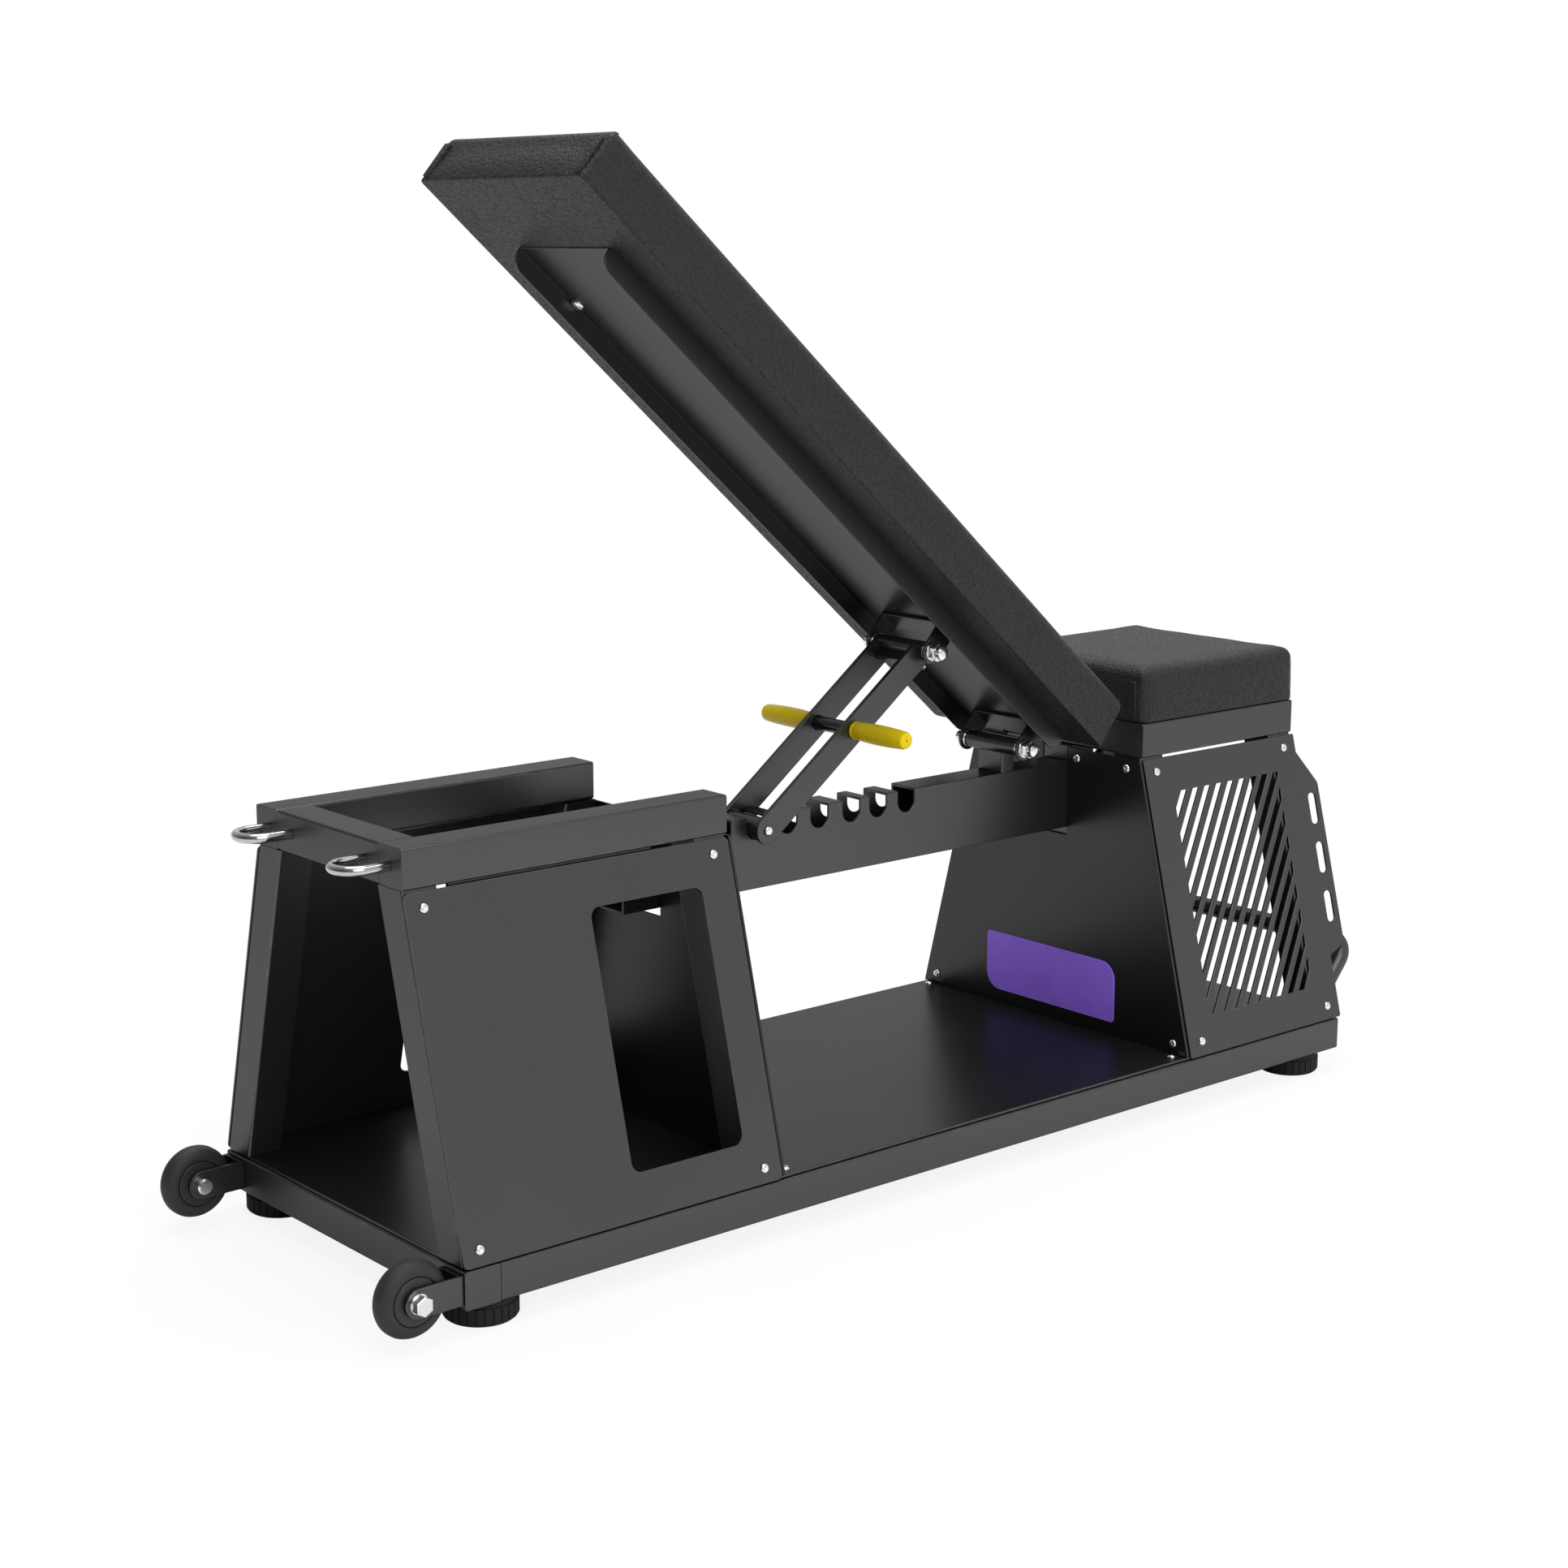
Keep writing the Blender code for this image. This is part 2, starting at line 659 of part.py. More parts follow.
def cushion(name, size, soft, crown, swell, parent, at):
    """A stuffed pad on its underside: a crowned top with soft edges, sides that swell, and a board let in."""
    half = Vector(size) / 2
    stops = [
        loops_across(half.x, soft, 6),
        loops_across(half.y, soft, 4),
        [-half.z, -half.z * 0.6, 0.0, *loops_across(half.z, soft, 1)[-3:]],
    ]
    mesh = bpy.data.meshes.new(name)
    shape = bmesh.new()
    bmesh.ops.create_cube(shape, size=2.0)
    for axis in range(3):
        along = [edge for edge in shape.edges if abs((edge.verts[0].co - edge.verts[1].co)[axis]) > 0.1]
        cuts = len(stops[axis]) - 2
        bmesh.ops.subdivide_edges(shape, edges=along, cuts=cuts, use_grid_fill=True)
    for vert in shape.verts:
        place = Vector()
        for axis in range(3):
            spans = len(stops[axis]) - 1
            place[axis] = stops[axis][round((vert.co[axis] + 1) / 2 * spans)]
        across, along = place.y / half.y, place.x / half.x
        bulge = swell * (1 - (place.z / half.z) ** 2) * (1 - along**4)
        if place.z > 0:
            core = Vector(max(soft - half[axis], min(half[axis] - soft, place[axis])) for axis in range(3))
            out = place - core
            if out.length > soft:
                place = core + out * (soft / out.length)
            place.z += crown * (1 - across**2) * (1 - along**4) * place.z / half.z
        place.y += math.copysign(bulge * abs(across), across)
        vert.co = place + Vector((0, 0, half.z))
    shape.to_mesh(mesh)
    shape.free()
    mesh.shade_smooth()
    mesh.set_sharp_from_angle(angle=math.radians(50))
    piece = add(name, mesh, LEATHERETTE, parent, at)
    inset = 2 * BOARD_INSET
    pocket = (size[0] - inset + 2 * GAP, size[1] - inset + 2 * GAP, 2 * (BOARD + GAP))
    combine(piece, helper(block(pocket), parent, at), "DIFFERENCE")
    board = block((size[0] - inset, size[1] - inset, BOARD))
    add(name.replace("pad", "board"), board, PLYWOOD, parent, Vector(at) + Vector((0, 0, BOARD / 2)))


def strut(back, knee):
    """Two flat bars on a cross sleeve, with a grip rod through them."""
    length = REST_LENGTH
    rod_hole = circle((0, -HANDLE_DROP), HANDLE_RADIUS + GAP)
    notch = SLEEVE_RADIUS + GAP
    lip = math.degrees(math.asin(BAR_TOP / notch))
    top = [(BAR_WIDTH / 2, BAR_TOP)] + arc((0, 0), notch, 360 + lip, 180 - lip, 10) + [(-BAR_WIDTH / 2, BAR_TOP)]
    outline = top + arc((0, -length), BAR_WIDTH / 2, 180, 360, 10)
    mesh = plate([outline, rod_hole], BAR_THICK)
    for side, sign in SIDES.items():
        at = (0, sign * (BAR_INNER + BAR_THICK / 2), 0)
        add(f"strut_bar_{side}", mesh.copy(), FRAME_PAINT, knee, at, (math.pi / 2, 0, 0))
    low = (-TIE_THICK / 2, -BAR_INNER + GAP, -TIE_DROP)
    high = (TIE_THICK / 2, BAR_INNER - GAP, -SLEEVE_RADIUS / 2 - BORE / 4)
    sleeve_with("strut_sleeve", SLEEVE_RADIUS, UPPER_SLEEVE_HALF, low, high, knee)
    rod_mesh = rod(HANDLE_RADIUS, 2 * HANDLE_HALF)
    add("handle_rod", rod_mesh, ROD_STEEL, knee, (0, 0, -HANDLE_DROP), (math.pi / 2, 0, 0))
    for side, sign in SIDES.items():
        grip(side, sign, knee)


def grip(side, sign, knee):
    """A slim barrel of plastic over one end of the rod, closed at its outer end."""
    length = GRIP_OUTER - GRIP_INNER
    bore = HANDLE_RADIUS + GAP
    floor = GRIP_OUTER - HANDLE_HALF - GAP
    profile = [
        (0.0, 0.0),
        (0.008, 0.0),
        (0.0100, -0.003),
        (0.0112, -0.018),
        (0.0112, -length + 0.012),
        (0.0100, -length),
        (bore, -length),
        (bore, -floor),
        (0.0, -floor),
    ]
    at = (0, sign * GRIP_OUTER, -HANDLE_DROP)
    turned(f"grip_{side}", profile, YELLOW_PLASTIC, knee, at, (-sign * math.pi / 2, 0, 0), steps=20)


def wheels(bench):
    """Two small wheels in folded forks, clear of the floor until the bench is tipped."""
    tyre = [
        (HUB_RADIUS + GAP, TYRE_HALF - 0.001),
        (HUB_RADIUS + 0.002, TYRE_HALF),
        (TYRE_RADIUS - 0.004, TYRE_HALF),
        (TYRE_RADIUS - 0.001, TYRE_HALF * 0.6),
        (TYRE_RADIUS, 0.0),
        (TYRE_RADIUS - 0.001, -TYRE_HALF * 0.6),
        (TYRE_RADIUS - 0.004, -TYRE_HALF),
        (HUB_RADIUS + 0.002, -TYRE_HALF),
        (HUB_RADIUS + GAP, -TYRE_HALF + 0.001),
    ]
    hub_half = TYRE_HALF - 0.001
    hub = [
        (BORE / 2, hub_half),
        (HUB_RADIUS, hub_half),
        (HUB_RADIUS, -hub_half),
        (BORE / 2, -hub_half),
    ]
    for side, sign in SIDES.items():
        at = Vector((AXLE.x, sign * AXLE.y, AXLE.z))
        turned(f"tyre_{side}", tyre, RUBBER, bench, at, (math.pi / 2, 0, 0), closed=True, steps=32)
        turned(f"wheel_hub_{side}", hub, WHEEL_PLASTIC, bench, at, (math.pi / 2, 0, 0), closed=True)
        wheel_fork(side, at, bench)
        reach = FORK_HALF + GAP
        bolt_with_nut(f"axle_bolt_{side}", at, bench, reach, reach, sign, 0.0085)


def wheel_fork(side, at, bench):
    """Two plates beside the wheel, on a web against the base's end."""
    root = -GAP - at.x
    outline = arc((0, 0), FORK_RADIUS, 90, 270, 8) + [(root, -FORK_RADIUS), (root, FORK_RADIUS)]
    mesh = plate([outline, circle((0, 0), BORE / 2, 16)], FORK_PLATE)
    low = (root - FORK_PLATE, -FORK_HALF, -FORK_RADIUS)
    high = (root, FORK_HALF, FORK_RADIUS)
    web = block(size_between(low, high))
    piece = add(f"wheel_fork_{side}", web, FRAME_PAINT, bench, at + middle(low, high))
    for sign in SIDES.values():
        plate_at = at + Vector((0, sign * (FORK_HALF - FORK_PLATE / 2), 0))
        combine(piece, helper(mesh, bench, plate_at, (math.pi / 2, 0, 0)), "UNION")


def strap_rings(bench):
    """Bright wire loops set level in the end of the head frame."""
    for side, sign in SIDES.items():
        bend = arc((-RING_STRAIGHT, 0), RING_RADIUS, 90, 270, 12)
        path = [(-GAP, RING_RADIUS), *bend, (-GAP, -RING_RADIUS)]
        mesh = bent_tube([(x, y, 0.0) for x, y in path], RING_WIRE)
        add(f"strap_ring_{side}", mesh, CHROME, bench, (0, sign * RING_ACROSS, RING_HEIGHT))


def corner_arc(before, corner, after, radius, steps):
    """Points round a corner of a path, at a bend radius."""
    back = (before - corner).normalized()
    on = (after - corner).normalized()
    opening = back.angle(on)
    tangent = radius / math.tan(opening / 2)
    centre = corner + (back + on).normalized() * radius / math.sin(opening / 2)
    start = corner + back * tangent - centre
    axis = start.cross(corner + on * tangent - centre).normalized()
    sweep = math.pi - opening
    turns = [Matrix.Rotation(sweep * step / steps, 3, axis) for step in range(steps + 1)]
    return [centre + turn @ start for turn in turns]


def lift_handle(bench):
    """The tube across the seat end, bent down and back to the rear legs."""
    root_x, root_z = LIFT_ROOT
    corners = [
        Vector((root_x, -LIFT_HALF, root_z)),
        Vector((LIFT_REACH, -LIFT_HALF, LIFT_HEIGHT)),
        Vector((LIFT_REACH, LIFT_HALF, LIFT_HEIGHT)),
        Vector((root_x, LIFT_HALF, root_z)),
    ]
    path = [corners[0]]
    for number in (1, 2):
        path += corner_arc(corners[number - 1], corners[number], corners[number + 1], LIFT_BEND, 6)
    path.append(corners[3])
    mesh = bent_tube(path, HANDLE_TUBE, 4)
    shape = bmesh.new()
    shape.from_mesh(mesh)
    ends = shape.verts[:] + shape.edges[:] + shape.faces[:]
    bmesh.ops.bisect_plane(
        shape, geom=ends, plane_co=(root_x, 0, 0), plane_no=(-1, 0, 0), clear_outer=True
    )
    bmesh.ops.holes_fill(shape, edges=[edge for edge in shape.edges if edge.is_boundary])
    bmesh.ops.recalc_face_normals(shape, faces=shape.faces)
    shape.to_mesh(mesh)
    shape.free()
    add("lift_handle", mesh, FRAME_PAINT, bench)


bench = group("bench", (ORIGIN_X, 0, 0))
back = group("back_hinge", HINGE, BACK_ANGLE, bench)

base_frame(bench)
feet(bench)
legs(bench)
top_frames(bench)
side_sheets(bench)
cross_walls(bench)
spine_beam(bench)
hinge_post(bench)
wheels(bench)
strap_rings(bench)
lift_handle(bench)

# The back and its cushion
back_size = (BACK_LENGTH, 2 * BACK_HALF, BACK_THICK)
cushion("back_pad", back_size, 0.012, 0.004, 0.001, back, (BACK_LOW_END - BACK_LENGTH / 2, 0, UNDERSIDE))
back_channel(back)
back_bracket("hinge_bracket", LOW_PIVOT, back)
back_bracket("strut_bracket", KNEE, back)
ear_face = EAR_INNER + SHEET + GAP
bolt_with_nut("hinge_bolt", LOW_PIVOT, back, ear_face, ear_face, -1, 0.0066, 0.012, 0.009)
bolt_with_nut("strut_bolt", KNEE, back, ear_face, ear_face, -1, 0.0066, 0.012, 0.009)

# The strut, whose rod lies in one of the beam's slots
rest = Vector((SLOT_CENTRES[REST_SLOT], PIVOT_Y, SLOT_LOW + GAP + REST_RADIUS))
knee_place = HINGE + Matrix.Rotation(BACK_ANGLE, 3, "Y") @ KNEE
REST_LENGTH = (rest - knee_place).length
strut_angle = math.atan2(knee_place.x - rest.x, knee_place.z - rest.z)
knee = group("strut_hinge", KNEE, strut_angle - BACK_ANGLE, back)
strut(back, knee)
rest_rod = rod(REST_RADIUS, 2 * (BAR_INNER - 2 * GAP))
add("rest_rod", rest_rod, ROD_STEEL, bench, rest, (math.pi / 2, 0, 0))

# The seat
seat_size = (SEAT[1] - SEAT[0], 2 * SEAT_HALF, SEAT_THICK - 0.002)
cushion("seat_pad", seat_size, 0.014, 0.002, 0.006, bench, ((SEAT[0] + SEAT[1]) / 2, 0, TOP_HIGH + GAP))
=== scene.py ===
"""Adjustable training bench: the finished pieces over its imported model, on a white studio floor."""

import math

import bmesh
import bpy
from mathutils import Matrix, Vector


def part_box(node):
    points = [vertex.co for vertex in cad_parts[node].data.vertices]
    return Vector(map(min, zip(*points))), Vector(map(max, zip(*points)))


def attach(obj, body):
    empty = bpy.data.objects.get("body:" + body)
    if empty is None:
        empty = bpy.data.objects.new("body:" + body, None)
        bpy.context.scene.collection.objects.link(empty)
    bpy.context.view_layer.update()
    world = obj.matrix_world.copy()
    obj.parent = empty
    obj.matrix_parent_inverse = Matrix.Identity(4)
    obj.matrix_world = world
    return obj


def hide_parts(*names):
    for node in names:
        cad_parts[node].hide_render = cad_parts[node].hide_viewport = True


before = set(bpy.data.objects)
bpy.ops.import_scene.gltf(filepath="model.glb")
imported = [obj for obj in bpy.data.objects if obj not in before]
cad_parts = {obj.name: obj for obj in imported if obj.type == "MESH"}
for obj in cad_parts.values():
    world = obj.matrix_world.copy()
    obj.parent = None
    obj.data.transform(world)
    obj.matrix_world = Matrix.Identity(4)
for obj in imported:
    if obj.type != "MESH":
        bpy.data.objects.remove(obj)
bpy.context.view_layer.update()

# The studio: a white floor that fades into a white backdrop, one broad soft lamp from the camera's
# left, another above, and a room that is bright towards the seat end and dim towards the wheel end.
CAMERA_PLACE = Vector((-1.8895, -2.1579, 0.9902))
CAMERA_YAW = 0.705865
CAMERA_PITCH = 0.201267
CAMERA_ROLL = 0.002365
CAMERA_LENS = 60.91
ROOM_FALL = 0.94
FLOOR_SIZE = 30.0
FLOOR_GLOW = 0.88
FLOOR_FADE = (0.9, 2.4)
LAMP_AIM = Vector((0.0, 0.0, 0.4))
FLOOR_WHITE = (0.93, 0.93, 0.93, 1.0)
WHITE = (1.0, 1.0, 1.0, 1.0)
LAMPS = (
    ("key_lamp", (-1.2, -3.8, 3.1), 3.2, 100.0),
    ("top_lamp", (0.4, 0.3, 3.8), 3.0, 110.0),
)


class Wire:
    """One output of a shader node, so that sums of outputs read as plain sums."""

    def __init__(self, nodes, socket):
        self.nodes = nodes
        self.socket = socket

    def maths(self, operation, *values):
        return self.nodes.add("ShaderNodeMath", {"operation": operation}, dict(enumerate(values)))

    def __add__(self, other):
        return self.maths("ADD", self, other)

    def __sub__(self, other):
        return self.maths("SUBTRACT", self, other)

    def __rsub__(self, other):
        return self.maths("SUBTRACT", other, self)

    def __mul__(self, other):
        return self.maths("MULTIPLY", self, other)

    __radd__ = __add__
    __rmul__ = __mul__

    def above(self, low, high):
        """Rises smoothly from 0 at one value to 1 at another."""
        sockets = {"Value": self, "From Min": low, "From Max": high}
        return self.nodes.add("ShaderNodeMapRange", {"interpolation_type": "SMOOTHSTEP"}, sockets)


class Nodes:
    """The nodes of one material or of the room."""

    def __init__(self, owner):
        owner.use_nodes = True
        self.tree = owner.node_tree

    def add(self, kind, settings=None, sockets=None, output=0):
        made = self.tree.nodes.new(kind)
        for name, value in (settings or {}).items():
            setattr(made, name, value)
        self.join(made, sockets or {})
        return Wire(self, made.outputs[output])

    def join(self, made, sockets):
        for name, value in sockets.items():
            if isinstance(value, Wire):
                self.tree.links.new(value.socket, made.inputs[name])
            else:
                made.inputs[name].default_value = value

    def mix(self, share, first, second):
        return self.add("ShaderNodeMix", {"data_type": "RGBA"}, {0: share, 6: first, 7: second}, 2)


camera = bpy.data.objects.new("camera", bpy.data.cameras.new("camera"))
bpy.context.scene.collection.objects.link(camera)
forward = Vector((
    math.sin(CAMERA_YAW) * math.cos(CAMERA_PITCH),
    math.cos(CAMERA_YAW) * math.cos(CAMERA_PITCH),
    -math.sin(CAMERA_PITCH),
))
level = Vector((math.cos(CAMERA_YAW), -math.sin(CAMERA_YAW), 0.0))
upward = level.cross(forward)
right = math.cos(CAMERA_ROLL) * level + math.sin(CAMERA_ROLL) * upward
upward = math.cos(CAMERA_ROLL) * upward - math.sin(CAMERA_ROLL) * level
facing = Matrix((right, upward, -forward)).transposed().to_4x4()
camera.matrix_world = Matrix.Translation(CAMERA_PLACE) @ facing
camera.data.sensor_width = 36.0
camera.data.lens = CAMERA_LENS
bpy.context.scene.camera = camera
bpy.context.scene.view_settings.view_transform = "Standard"

room = bpy.data.worlds.new("room")
bpy.context.scene.world = room
room_nodes = Nodes(room)
seen = room_nodes.add("ShaderNodeLightPath", output="Is Camera Ray")
through = room_nodes.add("ShaderNodeLightPath", output="Is Transmission Ray")
toward = room_nodes.add("ShaderNodeTexCoord", output="Generated")
half_along = {0: toward, 1: (0.5, 0.0, 0.0)}
lean = room_nodes.add("ShaderNodeVectorMath", {"operation": "DOT_PRODUCT"}, half_along, "Value")
lit = 1.0 - (0.5 - lean) * ROOM_FALL
straight = seen + through
plain = straight.maths("MINIMUM", straight, 1.0)
background = room_nodes.tree.nodes["Background"]
room_nodes.join(background, {"Color": WHITE, "Strength": plain + (1.0 - plain) * lit})

for name, place, size, power in LAMPS:
    lamp = bpy.data.objects.new(name, bpy.data.lights.new(name, "AREA"))
    bpy.context.scene.collection.objects.link(lamp)
    lamp.location = place
    lamp.rotation_euler = (LAMP_AIM - Vector(place)).to_track_quat("-Z", "Y").to_euler()
    lamp.data.size = size
    lamp.data.energy = power

bpy.ops.mesh.primitive_plane_add(size=FLOOR_SIZE)
floor = bpy.context.object
floor.name = "studio_floor"
floor_paper = bpy.data.materials.new("floor_paper")
floor_nodes = Nodes(floor_paper)
floor_place = floor_nodes.add("ShaderNodeTexCoord", output="Object")
floor_reach = floor_nodes.add("ShaderNodeVectorMath", {"operation": "LENGTH"}, {0: floor_place}, "Value")
floor_far = floor_reach.above(*FLOOR_FADE)
floor_shader = floor_nodes.tree.nodes["Principled BSDF"]
floor_nodes.join(floor_shader, {"Base Color": FLOOR_WHITE, "Roughness": 0.95, "Specular IOR Level": 0.1})
backdrop = floor_nodes.add("ShaderNodeEmission", sockets={"Color": WHITE, "Strength": 1.0})
floor_seen = floor_nodes.add("ShaderNodeLightPath", output="Is Camera Ray")
glow = floor_far + (1.0 - floor_far) * floor_seen * FLOOR_GLOW
paper = Wire(floor_nodes, floor_shader.outputs[0])
faded = floor_nodes.add("ShaderNodeMixShader", sockets={0: glow, 1: paper, 2: backdrop})
floor_nodes.join(floor_nodes.tree.nodes["Material Output"], {"Surface": faded})
floor.data.materials.append(floor_paper)

# The base: two long rails and two cross tubes of 40 mm square steel tube, welded into a flat frame
# and powder coated dark grey. The near and far rails run the whole length.
TUBE = 0.040
TUBE_ROUND = 0.0028
PAINT_GREY = (0.087, 0.087, 0.088)
PAINT_RUBBED = (0.16, 0.16, 0.162)
PAINT_METAL = 0.93
PAINT_GLANCE = (0.56, 0.56, 0.56, 1.0)


def only(piece):
    """Leaves one piece selected and active."""
    bpy.ops.object.select_all(action="DESELECT")
    piece.select_set(True)
    bpy.context.view_layer.objects.active = piece


def settle(piece, matrix=Matrix.Identity(4)):
    """Puts a piece in its place, with that place in its mesh."""
    only(piece)
    bpy.context.view_layer.update()
    piece.matrix_world = matrix @ piece.matrix_world
    bpy.context.view_layer.update()
    bpy.ops.object.transform_apply(location=True, rotation=True, scale=True)
    return piece


def block(name, low, high):
    """A block between two corners, to be shaped further."""
    bpy.ops.object.select_all(action="DESELECT")
    low, high = Vector(low), Vector(high)
    bpy.ops.mesh.primitive_cube_add(size=1.0, location=(low + high) / 2, scale=high - low)
    piece = bpy.context.object
    piece.name = name
    return settle(piece)


def edit(piece, kind, wanted):
    """Opens a piece in edit mode with only its wanted vertices, edges or faces selected."""
    if piece.mode == "EDIT":
        bpy.ops.object.mode_set(mode="OBJECT")
    only(piece)
    bpy.ops.object.mode_set(mode="EDIT")
    bpy.ops.mesh.select_mode(type=kind)
    bpy.ops.mesh.select_all(action="DESELECT")
    shape = bmesh.from_edit_mesh(piece.data)
    parts = {"VERT": shape.verts, "EDGE": shape.edges, "FACE": shape.faces}[kind]
    for part in parts:
        part.select_set(wanted(part))
    shape.select_flush_mode()
    bmesh.update_edit_mesh(piece.data)


def shade(piece, angle=35.0):
    only(piece)
    bpy.ops.object.shade_smooth_by_angle(angle=math.radians(angle))


def mark_worn(piece, width):
    """Marks the narrow faces of a rounded edge as the ones whose paint rubs thin."""
    bpy.ops.object.mode_set(mode="OBJECT")
    worn = piece.data.attributes.get("worn") or piece.data.attributes.new("worn", "FLOAT", "FACE")
    for face in piece.data.polygons:
        rim = sum((piece.data.vertices[a].co - piece.data.vertices[b].co).length for a, b in face.edge_keys)
        if 2.0 * face.area / rim < width:
            worn.data[face.index].value = 1.0


def soften(piece, width, segments=2, sharp=30.0, wanted=None):
    """Rounds the wanted edges, or all that are sharper than an angle."""
    if wanted is None:
        limit = math.radians(sharp)
        edit(piece, "EDGE", lambda edge: len(edge.link_faces) == 2 and edge.calc_face_angle(0.0) > limit)
    else:
        edit(piece, "EDGE", wanted)
    bpy.ops.mesh.bevel(offset=width, segments=segments, affect="EDGES", clamp_overlap=False)
    mark_worn(piece, width)
    shade(piece)
    return piece


def runs_along(axis):
    """Picks the edges that run along an axis."""
    return lambda edge: abs((edge.verts[0].co - edge.verts[1].co).normalized()[axis]) > 0.99


def fit(piece, look, slot, body="frame", *nodes):
    """Gives a piece its finish and its body, and shows it in place of its CAD solids."""
    if look.name.startswith(("painted", "wall")):
        only(piece)
        even = piece.modifiers.new("even", "WEIGHTED_NORMAL")
        even.keep_sharp = True
        bpy.ops.object.modifier_apply(modifier=even.name)
    piece.data.materials.clear()
    piece.data.materials.append(look)
    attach(piece, body)
    if nodes:
        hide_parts(*nodes)
    return piece


def square_tube(node, axis):
    """A square tube with rounded long edges and ground ends, where a CAD node stands."""
    low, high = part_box(node)
    piece = block(f"{node}_tube", low, high)
    soften(piece, TUBE_ROUND, 4, wanted=runs_along(axis))
    ends = (low[axis], high[axis])
    soften(piece, 0.0006, 2, wanted=lambda edge: any(
        all(abs(vert.co[axis] - end) < 1e-6 for vert in edge.verts) for end in ends
    ))
    return fit(piece, painted_steel, "frame_paint", "frame", node)


def painted(name, colour, rubbed, roughness=0.34):
    """Metallic grey powder coat: faint orange peel, slight clouding, edges rubbed a little brighter."""
    look = bpy.data.materials.new(name)
    nodes = Nodes(look)
    place = nodes.add("ShaderNodeTexCoord", output="Object")
    cloud = nodes.add("ShaderNodeTexNoise", sockets={"Vector": place, "Scale": 7.0, "Detail": 3.0})
    fleck = nodes.add("ShaderNodeTexNoise", sockets={"Vector": place, "Scale": 420.0, "Detail": 2.0})
    rub = nodes.add("ShaderNodeTexNoise", sockets={"Vector": place, "Scale": 55.0, "Detail": 4.0})
    peel = nodes.add("ShaderNodeTexNoise", sockets={"Vector": place, "Scale": 900.0, "Detail": 2.0})
    edge = nodes.add("ShaderNodeAttribute", {"attribute_name": "worn"}, output="Fac")
    worn = edge * rub.above(0.5, 0.72)
    dark = (*(c * 0.95 for c in colour), 1.0)
    light = (*(c * 1.05 for c in colour), 1.0)
    coat = nodes.mix((cloud + fleck) * 0.5, dark, light)
    relief = {"Strength": 0.12, "Distance": 0.0002, "Height": peel}
    bump = nodes.add("ShaderNodeBump", sockets=relief, output="Normal")
    nodes.join(nodes.tree.nodes["Principled BSDF"], {
        "Base Color": nodes.mix(worn * 0.3, coat, (*rubbed, 1.0)),
        "Metallic": PAINT_METAL,
        "Specular Tint": PAINT_GLANCE,
        "Roughness": roughness - 0.05 + cloud * 0.1 - worn * 0.08,
        "Normal": bump,
    })
    return look


painted_steel = painted("painted_steel", PAINT_GREY, PAINT_RUBBED)
painted_sheet = painted("painted_sheet", PAINT_GREY, PAINT_RUBBED, 0.31)
for name, axis in (
    ("base_rail_near", 0), ("base_rail_far", 0), ("base_cross_wheels", 1), ("base_cross_seat", 1),
):
    square_tube(name, axis)

# The floor plate: 3 mm sheet laid over the whole base and screwed down at its seat end and middle.
SHEET_ROUND = 0.0007
plate_low, plate_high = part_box("floor_plate")
inset = Vector((0.0, 0.0017, 0.0))
floor_plate = block("floor_plate_sheet", plate_low + inset, plate_high - inset)
soften(floor_plate, 0.003, 3, wanted=runs_along(2))
soften(floor_plate, SHEET_ROUND, 2)
fit(floor_plate, painted_sheet, "panel_paint", "frame", "floor_plate")

# The feet: four moulded rubber discs under the rails, with a smooth collar and ribs down the side
# that give a hand grip while they are screwed up or down.
FOOT_RIBS = 27
RIB_DEPTH = 0.0011
FOOT_COLLAR = 0.0062
RUBBER_BLACK = (0.008, 0.008, 0.0085)


def turned(name, profile, centre, along, sides=48):
    """A round piece drawn out ring by ring along an axis, through (radius, height) stops."""
    bpy.ops.object.select_all(action="DESELECT")
    radius, height = profile[0]
    bpy.ops.mesh.primitive_circle_add(vertices=sides, radius=radius, fill_type="NGON", location=(0, 0, height))
    piece = settle(bpy.context.object)
    piece.name = name
    bpy.ops.object.mode_set(mode="EDIT")
    bpy.ops.mesh.select_all(action="SELECT")
    for next_radius, next_height in profile[1:]:
        step = (0.0, 0.0, next_height - height)
        bpy.ops.mesh.extrude_region_move(TRANSFORM_OT_translate={"value": step})
        grow = next_radius / radius
        bpy.ops.transform.resize(value=(grow, grow, 1.0), center_override=(0.0, 0.0, next_height))
        radius, height = next_radius, next_height
    bpy.ops.mesh.select_all(action="SELECT")
    bpy.ops.mesh.normals_make_consistent(inside=False)
    bpy.ops.object.mode_set(mode="OBJECT")
    turn = Vector(along).to_track_quat("Z", "Y").to_matrix().to_4x4()
    settle(piece, Matrix.Translation(centre) @ turn)
    shade(piece)
    return piece


def moulded(name, colour, roughness, grain=700.0, depth=0.0003, gloss=0.5):
    """Moulded rubber or plastic, with a fine matt skin and faint flow marks."""
    look = bpy.data.materials.new(name)
    nodes = Nodes(look)
    place = nodes.add("ShaderNodeTexCoord", output="Object")
    marks = {"Vector": place, "Scale": 30.0, "Detail": 4.0, "Distortion": 0.6}
    flow = nodes.add("ShaderNodeTexNoise", sockets=marks)
    skin = nodes.add("ShaderNodeTexNoise", sockets={"Vector": place, "Scale": grain, "Detail": 3.0})
    dark = (*(c * 0.85 for c in colour), 1.0)
    light = (*(c * 1.15 for c in colour), 1.0)
    relief = {"Strength": 0.25, "Distance": depth, "Height": skin}
    bump = nodes.add("ShaderNodeBump", sockets=relief, output="Normal")
    nodes.join(nodes.tree.nodes["Principled BSDF"], {
        "Base Color": nodes.mix(flow, dark, light),
        "Roughness": roughness - 0.06 + flow * 0.12,
        "Specular IOR Level": gloss,
        "Normal": bump,
    })
    return look


